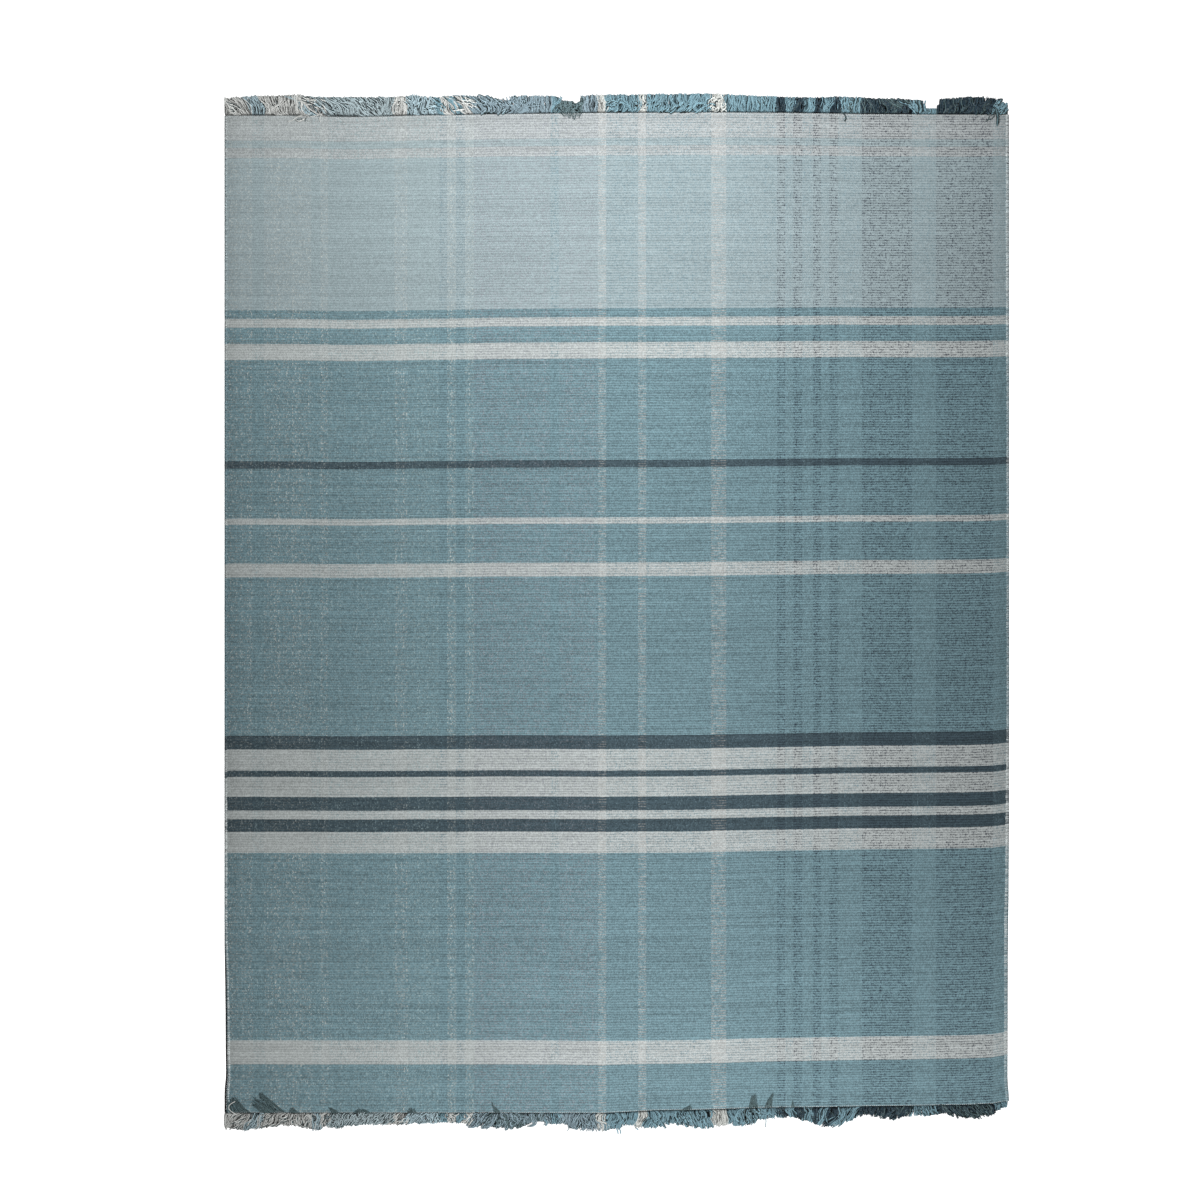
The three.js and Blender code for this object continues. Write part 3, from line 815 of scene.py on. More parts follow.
def woven_material(settings):
    """Weft-faced ribs with the warp showing in short dashes along the grooves, which are also painted darker
    as shade.
    """
    sheet = Sheet("woven_wool", roughness=0.92, sheen=0.05, gloss=0.25)
    across, along = (part / MM for part in sheet.split("weave"))
    ribs = along / RIB_PITCH
    groove_no = (ribs + 0.5).floor()
    pick_no = (ribs * 2.0).floor()
    end_no = (across / END_PITCH).floor()
    groove = abs(ribs - groove_no).ranged(*GROOVE_FADE, 1.0, 0.0)

    def uneven(kind, row_no):
        run, move, detail = RUNS[kind]
        return sheet.noise(across / run, row_no * move, detail=detail)

    # Dashes: each groove has its own run of long and short ones
    fine_dash = uneven("fine_dash", groove_no).ranged(*FINE_DASH_FROM)
    dash = uneven("dash", groove_no).ranged(*DASH_FROM) * (0.35 + fine_dash * 0.65)

    # Warp ends that peep out: some ends more than others, and here and there a single float
    float_show = sheet.speckle(end_no, pick_no).ranged(*FLOAT_FROM)
    peep = float_show * (PEEP[0] + sheet.speckle(end_no, 3.0) * PEEP[1])
    groove_share, peep_share, _ = sheet.channels(sheet.stripes(end_no, WARP_ORDER, WARP_CHARACTER))
    show = groove * ((SEEN[0] + dash * SEEN[1]) * groove_share) + peep * peep_share

    wandering = along + (uneven("edge", pick_no) - 0.5) * EDGE_WANDER
    weft_no = (wandering / PICK_PITCH).floor()
    weft = sheet.stripes(weft_no, WEFT_ORDER, yarn_colours(settings, "weft"))
    character = sheet.stripes(weft_no, WEFT_ORDER, WEFT_CHARACTER)
    show_share, unevenness, shade_depth = sheet.channels(character)
    warp = sheet.stripes(end_no, WARP_ORDER, yarn_colours(settings, "warp"))
    tint = sheet.mix((show * show_share).at_most(MOST_SEEN), weft, warp)

    # Yarn tone: each pick's own, long streaks along it, short slubs, and the grain of single crossings
    fibre = sheet.noise(across * 1.3, along * 2.2, detail=2.0)
    kinds = {
        "pick": sheet.speckle(pick_no, 11.0),
        "streak": uneven("streak", pick_no),
        "slub": uneven("slub", pick_no),
        "grain": sheet.speckle(end_no + 0.5, pick_no),
        "mottle": sheet.noise(across, along, scale=1 / MOTTLE_CELL, detail=2.0),
        "fibre": fibre,
    }
    tone = -sum(TONE.values()) / 2
    for kind, strength in TONE.items():
        tone = kinds[kind] * strength + tone
    tone = 1.0 + tone * unevenness
    # Painted shade: the grooves are darkened in the colour, more where a dash lies
    groove_shade = groove * shade_depth * (GROOVE_SHADOW[0] + dash * GROOVE_SHADOW[1]) * groove_share.at_most(MOST_SEEN)
    tint = sheet.shaded(tint, tone * (1.0 - groove_shade))

    # Twist of the weft yarn over each rib, and its fibres
    twist = (across * 2.4 + ribs * 6.0).sine()
    sheet.bump(twist * 0.5 + fibre, 0.12 * MM, 0.6)
    return sheet.finish(tint)


# Two-ply yarn: the length of one turn, and how much its plies, fuzz and wear change its level
PLY_TURN = 3.2
PLY_SHADE = 0.05
FUZZ_SHADE = 0.16
WEAR_SHADE = 0.6
LEVEL_SHIFT = 0.38


def yarn_sheet(name, side_shade):
    """A sheet for two-ply yarn, with its stripe place, dark share, and tone with ply and fuzz, and painted
    shade round
    each yarn: its top is painted light and its sides darker, as if lit from above. The side shade sets how
    light its sides stay."""
    sheet = Sheet(name, roughness=0.9, sheen=0.02, gloss=0.08)
    place, dark = sheet.split("warp_place")
    around, along = sheet.split("ply")
    tone, _ = sheet.split("tone")
    _, yarn_no = sheet.split("gap")
    along = along / MM
    ply = (around * (4 * math.pi) + along * (2 * math.pi / PLY_TURN)).sine()
    fuzz = sheet.noise(around * 6.0, along * 1.4, detail=2.0)
    wear = sheet.noise(yarn_no * 5.3, along * 0.35)
    level = tone - LEVEL_SHIFT + ply * PLY_SHADE + (fuzz * FUZZ_SHADE + wear * WEAR_SHADE)
    # Painted shade: lighter on the yarn's top and darker on its sides, as if lit from above
    crest = (around * (2 * math.pi)).sine()
    sheet.bump(ply + fuzz, 0.25 * MM, 0.8)
    return sheet, place, dark, level * crest.ranged(-0.2, 0.85, side_shade, 1.08)


def fringe_material(settings):
    """Loose warp yarn, in the colour of the stripe that it grows out of, with shade painted on one side of a
    yarn where gaps open here and there between neighbours, most of all near the roots, a painted highlight
    on its other side, and painted shade at the roots."""
    sheet, place, dark, level = yarn_sheet("fringe_yarn", side_shade=0.78)
    around, along = sheet.split("ply")
    _, share = sheet.split("tone")
    gap, yarn_no = sheet.split("gap")
    end_no = (place / (END_PITCH * MM)).floor()
    tint = sheet.stripes(end_no, WARP_ORDER, yarn_colours(settings, "fringe"))
    tint = sheet.mix(dark, tint, tuple(settings.yarns.fringe_dark))
    lint = sheet.noise(along * (0.3 / MM), yarn_no * 3.7 + around).ranged(0.55, 0.72, 0.0, 0.1)
    tint = sheet.mix(lint, tint, tuple(settings.yarns.fringe_ivory))
    faded = sheet.noise(share * 1.5, yarn_no * 9.7).ranged(0.52, 0.7, 0.0, 0.06)
    tint = sheet.mix(faded, tint, tuple(settings.yarns.fringe_haze))

    # Painted gap shade: one side of a yarn is painted dark, wide in patches along it, and closing towards
    # its tip
    patches = sheet.noise(share * 3.4, yarn_no * 7.3)
    opening = gap * patches.ranged(0.40, 0.48) + patches.ranged(0.54, 0.61)
    opening = opening * share.ranged(0.45, 0.95, 1.0, 0.35)
    beside = (around * (2 * math.pi)).cosine()
    line = (beside + opening).ranged(1.0, 1.35, 1.0, 0.0)
    # The painted gap shade is kept lighter on pale yarn, as light comes through it
    red, _, _ = sheet.channels(tint)
    line = line.at_least(red.ranged(0.2, 0.7, 0.02, 0.32))
    # Painted highlight on the yarn's other side, where its gap opens
    gap_highlight = 1.0 + gap * beside.ranged(-0.9, -0.2, 0.2, 0.0)
    # Painted shade near the roots, where the yarns leave the cloth
    root = share.ranged(0.03, 0.13, 0.42, 1.0)
    return sheet.finish(sheet.shaded(tint, level * root * (line * gap_highlight)))


def edging_material(settings):
    """Overcasting yarn, between the colour of the weft beside it and pale, with painted shade towards the
    end of each loop and stitch, and the selvage core painted near black as shade.
    """
    sheet, place, dark, level = yarn_sheet("edging_yarn", side_shade=0.85)
    pale, _ = sheet.split("gap")
    _, share = sheet.split("tone")
    weft_no = (place / (PICK_PITCH * MM)).floor()
    tint = sheet.stripes(weft_no, WEFT_ORDER, yarn_colours(settings, "weft"))
    # Painted shade: each loop and stitch is less pale towards its end, where a loop turns down over the edge
    pale = pale * (1.0 - share.ranged(0.3, 0.6) * 0.65)
    tint = sheet.mix(pale, sheet.shaded(tint, 1.1), tuple(settings.yarns.edging_pale))
    # The core's near-black is painted shade between the loops
    tint = sheet.mix(dark, tint, tuple(settings.yarns.edging_dark))
    # Painted shade: slightly darker towards the end of each loop and stitch
    return sheet.finish(sheet.shaded(tint, level * share.ranged(0.45, 0.8, 1.0, 0.9)))


# Mesh making

def collection(name):
    """The collection with this name, made on first use."""
    found = bpy.data.collections.get(name)
    if found is None:
        found = bpy.data.collections.new(name)
        bpy.context.scene.collection.children.link(found)
    return found


def add_piece(name, points, faces, uvs, material, slot_name, nodes=(), flat_from=None):
    """A mesh object with a UV pair for every corner in each map, riding on the rug's body. Faces are
    smooth up to the one where flat_from starts."""
    mesh = bpy.data.meshes.new(name)
    mesh.from_pydata((points * MM).tolist(), [], faces)
    for map_name, pairs in uvs.items():
        layer = mesh.uv_layers.new(name=map_name, do_init=False)
        layer.data.foreach_set("uv", np.asarray(pairs, dtype=np.float32).ravel())
    smooth = np.arange(len(faces)) < (len(faces) if flat_from is None else flat_from)
    mesh.polygons.foreach_set("use_smooth", smooth)
    mesh.validate()
    piece = bpy.data.objects.new(name, mesh)
    collection("rug").objects.link(piece)
    piece.data.materials.append(material)
    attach(piece, BODY)
    if nodes:
        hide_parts(*nodes)
    return piece


def tube_mesh(paths, radii, sides, upright):
    """Closed tubes along many paths at once.

    paths is (tubes, rings, 3) and radii (tubes, rings). Returns points and faces, and for each face
    corner its tube, its ring and its place around from 0 to 1.
    """
    count, rings, _ = paths.shape
    heading = np.gradient(paths, axis=1)
    heading /= np.linalg.norm(heading, axis=2, keepdims=True) + 1e-9
    side = np.cross(heading, np.asarray(upright, float))
    side /= np.linalg.norm(side, axis=2, keepdims=True) + 1e-9
    up = np.cross(side, heading)
    angle = 2 * np.pi * np.arange(sides) / sides
    ring = side[:, :, None] * np.cos(angle)[:, None] + up[:, :, None] * np.sin(angle)[:, None]
    points = paths[:, :, None] + ring * radii[:, :, None, None]

    def number(tube, step, around):
        return (tube * rings + step) * sides + around % sides

    tube, step, around = np.meshgrid(np.arange(count), np.arange(rings - 1), np.arange(sides), indexing="ij")
    corners = ((0, 0), (0, 1), (1, 1), (1, 0))
    quads = np.stack([number(tube, step + down, around + on) for down, on in corners], -1)
    corner_tube = [np.stack([tube] * 4, -1).ravel()]
    corner_ring = [np.stack([step + down for down, _ in corners], -1).ravel()]
    corner_around = [np.stack([around + on for _, on in corners], -1).ravel() / sides]
    faces = quads.reshape(-1, 4).tolist()
    tube, around = np.meshgrid(np.arange(count), np.arange(sides), indexing="ij")
    for ring_no, order in ((0, -1), (rings - 1, 1)):
        faces += number(tube, ring_no, around)[:, ::order].tolist()
        corner_tube.append(tube.ravel())
        corner_ring.append(np.full(tube.size, ring_no))
        corner_around.append(around[:, ::order].ravel() / sides)
    return (
        points.reshape(-1, 3), faces, np.concatenate(corner_tube), np.concatenate(corner_ring),
        np.concatenate(corner_around),
    )


def merged(parts):
    """One mesh out of several: each part is its points, its faces and its corner maps."""
    points, faces, uvs = [], [], []
    shift = 0
    for part_points, part_faces, part_uvs in parts:
        points.append(part_points)
        faces += [[corner + shift for corner in face] for face in part_faces]
        uvs.append(part_uvs)
        shift += len(part_points)
    return np.concatenate(points), faces, {key: np.concatenate([uv[key] for uv in uvs]) for key in uvs[0]}


def in_area(pairs, area):
    """Places in the unit square, moved into an area of the bake map."""
    left, low, right, high = area
    return pairs * (right - left, high - low) + (left, low)


def yarn_mesh(paths, radii, places, dark, tones, sides=5, upright=(0, 0, 1), bake=(0, 0, 1, 1), gap=0):
    """Yarns with maps for their stripe, ply, tone and gap, and a strip each in their part of the bake
    map. The gap says how much painted gap shade the yarn gets beside its neighbour. Edging yarns hold their
    paleness there."""
    count, rings, _ = paths.shape
    points, faces, tube, ring, around = tube_mesh(paths, radii, sides, upright)
    steps = np.linalg.norm(np.diff(paths, axis=1), axis=2)
    run = np.concatenate([np.zeros((count, 1)), np.cumsum(steps, axis=1)], axis=1)
    share = ring / (rings - 1)
    wide = int(math.ceil(math.sqrt(count * 6)))
    tall = int(math.ceil(count / wide))
    column = (tube % wide + 0.06 + 0.88 * around) / wide
    row = (tube // wide + 0.02 + 0.96 * share) / tall
    strip = np.stack([column, row], -1)
    uvs = {
        "OFBake": in_area(strip, bake),
        "warp_place": np.stack([places[tube] * MM, dark[tube]], -1),
        "ply": np.stack([around, run[tube, ring] * MM], -1),
        "tone": np.stack([tones[tube], share], -1),
        "gap": np.stack([np.broadcast_to(gap, count)[tube], tube], -1),
    }
    return points, faces, uvs


# Cloth

def cloth_grid(settings):
    """Points of the patterned face, with their place in the weave: rows run down from the top end."""
    cloth = settings.cloth
    rows = RIBS * ROWS_PER_RIB + 1
    down = np.arange(rows) * RIB_PITCH / ROWS_PER_RIB
    rounding = CLOTH_ROUNDING / (2 * HALF_WIDTH)
    share = np.concatenate([[0], np.linspace(rounding, 1 - rounding, CLOTH_COLUMNS + 1), [1]])
    level = weft_line(np.zeros(1), down)
    left = between(LEFT_SIDE, level) + CLOTH_INSET
    right = between(RIGHT_SIDE, level) - CLOTH_INSET
    x = left[:, None] + (right - left)[:, None] * share[None, :]
    down = np.broadcast_to(down[:, None], x.shape)
    y = weft_line(x, down)
    rib = down / RIB_PITCH
    inside = ease(down / STEADY_END) * ease((LENGTH - down) / STEADY_END)
    wander = soft_noise(3, (x + HALF_WIDTH) / WANDER_CELL, rib / WANDER_RIBS)
    y = y + inside * cloth.wander_width / MM * wander
    plain_x = x - side_shift(x, y)
    profile = np.array(RIB_PROFILE)[np.arange(rows) % ROWS_PER_RIB][:, None]
    swell = 1 + RIB_SWELL * soft_noise(5, (x + HALF_WIDTH) / SWELL_CELL, np.floor(rib))
    ripple = cloth.ripple_height / MM * soft_noise(7, (x + HALF_WIDTH) / RIPPLE_CELL, down / RIPPLE_CELL)
    z = cloth.groove_height / MM + cloth.rib_height / MM * profile * swell + ripple
    z[:, [0, -1]] -= CLOTH_ROUNDING / 2
    return np.stack([x, y, z], -1), np.stack([plain_x + HALF_WIDTH, down], -1)


def cloth_mesh(settings):
    """The whole slab: ribbed face, then its flat underside and walls."""
    top, weave = cloth_grid(settings)
    rows, columns = top.shape[:2]
    stride = UNDER_RIBS * ROWS_PER_RIB
    under_rows = np.append(np.arange(0, rows - 1, stride), rows - 1)
    under = top[under_rows].copy()
    under[..., 2] = 0.0
    under_weave = weave[under_rows]
    first = rows * columns
    last_row, last_under, right = rows - 1, len(under_rows) - 1, columns - 1

    def number(row, column):
        return row * columns + column

    i, j = np.meshgrid(np.arange(last_row), np.arange(right), indexing="ij")
    face = np.stack([number(i, j), number(i + 1, j), number(i + 1, j + 1), number(i, j + 1)], -1)
    i, j = np.meshgrid(np.arange(last_under), np.arange(right), indexing="ij")
    back = first + np.stack([number(i, j), number(i, j + 1), number(i + 1, j + 1), number(i + 1, j)], -1)
    faces = face.reshape(-1, 4).tolist()
    face_count = len(faces)
    faces += back.reshape(-1, 4).tolist()
    for j in range(right):
        faces.append([number(0, j), number(0, j + 1), first + number(0, j + 1), first + number(0, j)])
        low_edge = [number(last_row, j + 1), number(last_row, j)]
        faces.append(low_edge + [first + number(last_under, j), first + number(last_under, j + 1)])
    for k in range(last_under):
        edge = range(under_rows[k], under_rows[k + 1] + 1)
        left_foot = [first + number(k, 0), first + number(k + 1, 0)]
        faces.append([number(i, 0) for i in reversed(edge)] + left_foot)
        right_foot = [first + number(k + 1, right), first + number(k, right)]
        faces.append([number(i, right) for i in edge] + right_foot)

    points = np.concatenate([top.reshape(-1, 3), under.reshape(-1, 3)])
    place = np.concatenate([weave.reshape(-1, 2), under_weave.reshape(-1, 2)])
    corners = np.array([corner for one in faces for corner in one])
    bake = place / (ENDS * END_PITCH, LENGTH)
    bake[:first] = in_area(bake[:first], FACE_BAKE)
    bake[first:] = in_area(bake[first:], UNDER_BAKE)
    return points, faces, {"OFBake": bake[corners], "weave": place[corners] * MM}, face_count


class RUG_OT_cloth(bpy.types.Operator):
    """Weave the ribbed cloth with its stripes"""

    bl_idname = "rug.cloth"
    bl_label = "Woven cloth"

    def execute(self, context):
        settings = context.scene.rug
        points, faces, uvs, face_count = cloth_mesh(settings)
        material = woven_material(settings)
        cloth = add_piece("woven_cloth", points, faces, uvs, material, "woven_cloth", ("cloth",), face_count)
        flat = (2 * (HALF_WIDTH - CLOTH_INSET) * MM, LENGTH * MM)
        return {"FINISHED"}


# Overcast sides

def overcast_mesh(settings, table, loops_table, inward, seed):
    """Loops of yarn round one side, over a core of selvage ends whose dark is painted shade."""
    rng = np.random.default_rng(seed)
    corner = between(table, np.zeros(1))
    low = between(BOTTOM_END, corner)[0] + LOOP_MARGIN
    high = between(TOP_END, corner)[0] - LOOP_MARGIN
    radius = settings.edging.loop_radius / MM
    y = np.linspace(low, high, PICKS)
    down = (high - y) * LENGTH / (high - low)
    y = y + rng.uniform(-LOOP_SHIFT, LOOP_SHIFT, PICKS)
    inner, outer, pale = (between(loops_table, y, column) for column in (1, 2, 3))
    inner = inner + rng.uniform(-LOOP_REACH_SHIFT, LOOP_REACH_SHIFT, PICKS)
    drop = np.where(outer < WRAP_LIMIT, LOOP_FOOT - radius, OPEN_DROP)
    t = np.linspace(0, 1, LOOP_STEPS + 1)[None, :]
    over = ease(t / LOOP_TURN)
    inset = inner[:, None] + (outer - inner)[:, None] * over
    loops = np.empty((PICKS, LOOP_STEPS + 1, 3))
    loops[:, :, 0] = between(table, y)[:, None] + inward * inset
    loops[:, :, 1] = y[:, None] + rng.uniform(*LOOP_SLANTS, (PICKS, 1)) * (t - 0.5)
    loops[:, :, 2] = LOOP_FOOT + LOOP_CREST * np.sin(np.pi * np.minimum(t / LOOP_TURN, 1))
    loops[:, :, 2] -= drop[:, None] * ease((t - LOOP_DROP) / (1 - LOOP_DROP))
    radii = radius * rng.uniform(*LOOP_WIDTHS, (PICKS, 1)) * np.ones_like(t)
    pale = np.clip(pale * rng.uniform(*LOOP_PALENESS, PICKS), 0, 1)
    tones = rng.uniform(*LOOP_TONES, PICKS)
    none = np.zeros(PICKS)
    parts = [yarn_mesh(loops, radii, down, none, tones, LOOP_SIDES, (0, 1, 0), LOOPS_BAKE, gap=pale)]

    y = np.linspace(low - 1, high + 1, CORE_RINGS)
    x = between(table, y) + inward * CORE_MIDDLE
    core = np.stack([x, y, np.full(CORE_RINGS, CORE_HEIGHT)], -1)[None]
    radii = np.full((1, CORE_RINGS), settings.edging.core_radius / MM)
    parts.append(yarn_mesh(core, radii, np.zeros(1), np.ones(1), np.ones(1), bake=CORE_BAKE))
    return merged(parts)


def stitch_mesh(settings, table, outward, seed):
    """A row of small stitches along one end of the cloth."""
    rng = np.random.default_rng(seed)
    count = int((2 * HALF_WIDTH - 2 * EDGING_WIDTH) / STITCH_PITCH)
    x = np.linspace(-HALF_WIDTH + EDGING_WIDTH + 2, HALF_WIDTH - EDGING_WIDTH - 2, count)
    x = x + rng.uniform(-STITCH_SHIFT, STITCH_SHIFT, count)
    t = np.linspace(-0.5, 0.5, STITCH_STEPS + 1)
    paths = np.empty((count, STITCH_STEPS + 1, 3))
    paths[:, :, 0] = x[:, None] + STITCH_PITCH * rng.uniform(*STITCH_LENGTHS, (count, 1)) * t[None, :]
    inset = STITCH_IN + rng.uniform(-STITCH_IN_SHIFT, STITCH_IN_SHIFT, count)
    slant = rng.uniform(-0.5, 0.5, (count, 1)) * t[None, :]
    paths[:, :, 1] = (between(table, x) - outward * inset)[:, None] + slant
    paths[:, :, 2] = STITCH_TOP - STITCH_ARCH * t[None, :] ** 2
    radii = settings.edging.stitch_radius / MM * np.ones((count, STITCH_STEPS + 1))
    tones = rng.uniform(*STITCH_TONES, count)
    return yarn_mesh(paths, radii, np.zeros(count), np.zeros(count), tones, gap=1)


class RUG_OT_edgings(bpy.types.Operator):
    """Overcast both sides and stitch both ends with yarn"""

    bl_idname = "rug.edgings"
    bl_label = "Overcast sides"

    def execute(self, context):
        settings = context.scene.rug
        material = edging_material(settings)
        for name, table, loops_table, inward, node, seed in (
            ("left_overcast", LEFT_SIDE, LEFT_LOOPS, 1, "left_edging", 21),
            ("right_overcast", RIGHT_SIDE, RIGHT_LOOPS, -1, "right_edging", 22),
        ):
            mesh = overcast_mesh(settings, table, loops_table, inward, seed)
            add_piece(name, *mesh, material, "edging_yarn", (node,))
        for name, table, outward, seed in (
            ("top_stitches", TOP_END, 1, 23),
            ("bottom_stitches", BOTTOM_END, -1, 24),
        ):
            mesh = stitch_mesh(settings, table, outward, seed)
            add_piece(name, *mesh, material, "edging_yarn")
        return {"FINISHED"}


# Fringes

End = namedtuple("End", "name node outward line table dark tangles wisps strays ragged parting tone seed")


def rug_ends(fringe):
    """Both ends of the rug, each with its tables and settings."""
    return (
        End(
            "top_fringe", "fringe_top", 1, TOP_END, TOP_FRINGE, TOP_DARK, TOP_TANGLES, TOP_WISPS, TOP_STRAYS,
            TOP_RAGGED, fringe.top_parting, fringe.top_tone, fringe.top_seed,
        ),
        End(
            "bottom_fringe", "fringe_bottom", -1, BOTTOM_END, BOTTOM_FRINGE, BOTTOM_DARK, BOTTOM_TANGLES,
            BOTTOM_WISPS, BOTTOM_STRAYS, BOTTOM_RAGGED, fringe.bottom_parting, fringe.bottom_tone,
            fringe.bottom_seed,
        ),
    )


def bunches(rng, x):
    """Which bunch each yarn belongs to, and the middle of that bunch."""
    cuts = x[0] + np.cumsum(rng.uniform(*BUNCH_WIDTHS, MOST_BUNCHES))
    which = np.searchsorted(cuts, x)
    sums = np.bincount(which, weights=x)
    middles = sums / np.maximum(np.bincount(which), 1)
    return which, middles[which]


def dark_share(rng, locks, x):
    """How dark each yarn is dyed: full within a lock, up to that lock's share of the yarns."""
    dark = np.zeros(len(x))
    for first, last, share in locks:
        inside = (x > first) & (x < last) & (rng.uniform(0, 1, len(x)) < share)
        dark[inside] = rng.uniform(0.75, 1.0, inside.sum())
    return dark


def headings(rng, each, table, middle, t, seed, sweep_share, curl_share):
    """Which way each yarn runs along its length, in radians from straight out to +X, and the number and
    the start of its waves."""
    curl = (between(table, middle, 4) * curl_share)[:, None]
    lean = np.arctan(between(table, middle, 2))
    sweep = np.radians(between(table, middle, 3))
    turned = ((sweep - lean) * sweep_share)[:, None] * (ROOT_TURN + TURN_GAIN * ease(t / TURN_OVER))
    swing = np.cos(np.pi * t / SWING) * (1 - ease((t - SWING_FROM) / SWING_FADE))
    steep = np.minimum(SLANT_BY_CURL * curl, MOST_SLANT * curl_share)
    slant = steep * soft_noise(seed + 4, middle / SLANT_CELL)[:, None] * swing
    flow_x = middle[:, None] / FLOW_CELL + 0 * t
    flow_t = FLOW_RUN * t + 0 * flow_x
    fine_flow = soft_noise(seed + 2, flow_x * FINE_ACROSS, flow_t * FINE_ALONG)
    flow = soft_noise(seed + 1, flow_x, flow_t) + FINE_FLOW * fine_flow
    flow = flow - FLOW_EVENED * flow.mean(axis=1, keepdims=True)
    cycles = each(*WAVES)
    drift = soft_noise(seed + 3, middle / PHASE_CELL)[:, None]
    phase = PHASE_DRIFT * drift + each(-PHASE_SHIFT, PHASE_SHIFT)
    sway = (WAVE_BEND + WAVE_BY_CURL * curl ** 2) * np.sin(2 * np.pi * (cycles * t + phase))
    bends = curl * (FLOW_BEND * flow + each(-BUNCH_BEND, BUNCH_BEND))
    heading = lean[:, None] + turned + slant + bends + sway
    own = rng.normal(0, 1, (len(middle), 1)) * (OWN_BEND + OWN_BY_CURL * curl) * curl_share
    limit = STEEPEST + LATE_TURN * ease((t - LATE_FROM) / LATE_OVER)
    heading = heading + own
    return np.clip(heading, -limit, limit), cycles, phase


def yarn_gaps(rng, table, middle):
    """How much painted gap shade each yarn gets beside its neighbour: more often where the yarns sweep aside
    or curl.
    """
    count = len(middle)
    swept = np.abs(np.sin(np.radians(between(table, middle, 3))))
    curled = between(table, middle, 4)
    opened = rng.uniform(0, 1, count) / (CLOSED + BY_SWEEP * swept + BY_CURL * curled)
    return np.where(opened < SLIT_SHARE, SLIT_GAP, rng.uniform(*GAPS, count)) * (opened < GAP_SHARE)


def layer_mesh(end, number, length_share):
    """One layer of the loose yarns at one end. The yarns of a bunch run side by side, and
    neighbouring bunches follow the same slow bends."""
    yarns, sides, steps, radius, low, high, *shares, pinch, tone = LAYERS[number]
    reach_share, sweep_share, curl_share = shares
    seed = end.seed + LAYER_SEEDS * number
    rng = np.random.default_rng(seed)
    spread = np.linspace(-HALF_WIDTH + 2, HALF_WIDTH - 2, yarns)
    x = spread + rng.uniform(-PLACE_SHIFT, PLACE_SHIFT, yarns) * (spread[1] - spread[0])
    t = np.linspace(0, 1, steps + 1)[None, :]
    which, middle = bunches(rng, x)
    count = which.max() + 1

    def each(low_value, high_value):
        """A value for every bunch, given to its yarns."""
        return rng.uniform(low_value, high_value, count)[which][:, None]

    heading, cycles, phase = headings(rng, each, end.table, middle, t, seed, sweep_share, curl_share)
    step = np.stack([np.sin(heading), np.cos(heading)], -1)
    travel = np.concatenate([np.zeros((yarns, 1, 2)), np.cumsum(step[:, :-1], axis=1)], axis=1)
    extent = np.maximum(travel[:, :, 1].max(axis=1), LEAST_EXTENT * steps)
    reach = between(end.table, x) * reach_share * length_share
    change, left, right = end.ragged
    ragged = np.where(middle < change, left, right)
    reach = reach * (FULL_REACH - ragged * each(0, 1)[:, 0]) * rng.uniform(*REACHES, yarns)
    travel *= (reach / extent)[:, None, None]

    lift = np.clip(each(0, 1)[:, 0] + rng.uniform(-LIFT_SHIFT, LIFT_SHIFT, yarns), 0, 1)
    height = (low + (high - low) * lift)[:, None]
    rise = ease(t / RISE_OVER)
    fall = 1 - FALL * ease((t - FALL_FROM) / (1 - FALL_FROM))
    paths = np.empty((yarns, steps + 1, 3))
    pinch = np.minimum(pinch * end.parting * PINCH * each(0, 1) ** 2, MOST_PINCH)
    drawn = (x - middle)[:, None] * pinch * np.sin(np.pi * t ** PINCH_SKEW)
    along = x[:, None] - drawn + travel[:, :, 0]
    limit = (FRINGE_END - rng.uniform(0, FRINGE_END_SHIFT, yarns))[:, None]
    beyond = np.maximum(np.abs(along) - limit, 0)
    paths[:, :, 0] = np.sign(along) * (np.abs(along) - PRESSED_BACK * beyond)
    root = between(end.line, x) + end.outward * rng.uniform(*ROOT_SHIFTS, yarns)
    paths[:, :, 1] = root[:, None] + end.outward * travel[:, :, 1]
    wave = LIFT_WAVE * height * np.sin(2 * np.pi * (cycles * t * LIFT_WAVES + phase))
    paths[:, :, 2] = np.maximum(ROOT_HEIGHT + (height - ROOT_HEIGHT) * rise * fall + wave * rise, radius)
    taper = 1 - (1 - TIP_SHARE) * ease((t - TIP_FROM) / (1 - TIP_FROM))
    radii = radius * taper * rng.uniform(*WIDTHS, (yarns, 1))
    # Tone paints shade: darker in lower layers and for lower yarns
    tones = end.tone * tone * (LOW_SHADE + (1 - LOW_SHADE) * lift) * rng.uniform(*TONES, yarns)
    dark = dark_share(rng, end.dark, x)
    gap = yarn_gaps(rng, end.table, middle)
    bake = (0, number * LAYER_BAKE, 1, (number + 1) * LAYER_BAKE - LAYER_BAKE_GAP)
    return yarn_mesh(paths, radii, x + HALF_WIDTH, dark, tones, sides, bake=bake, gap=gap)


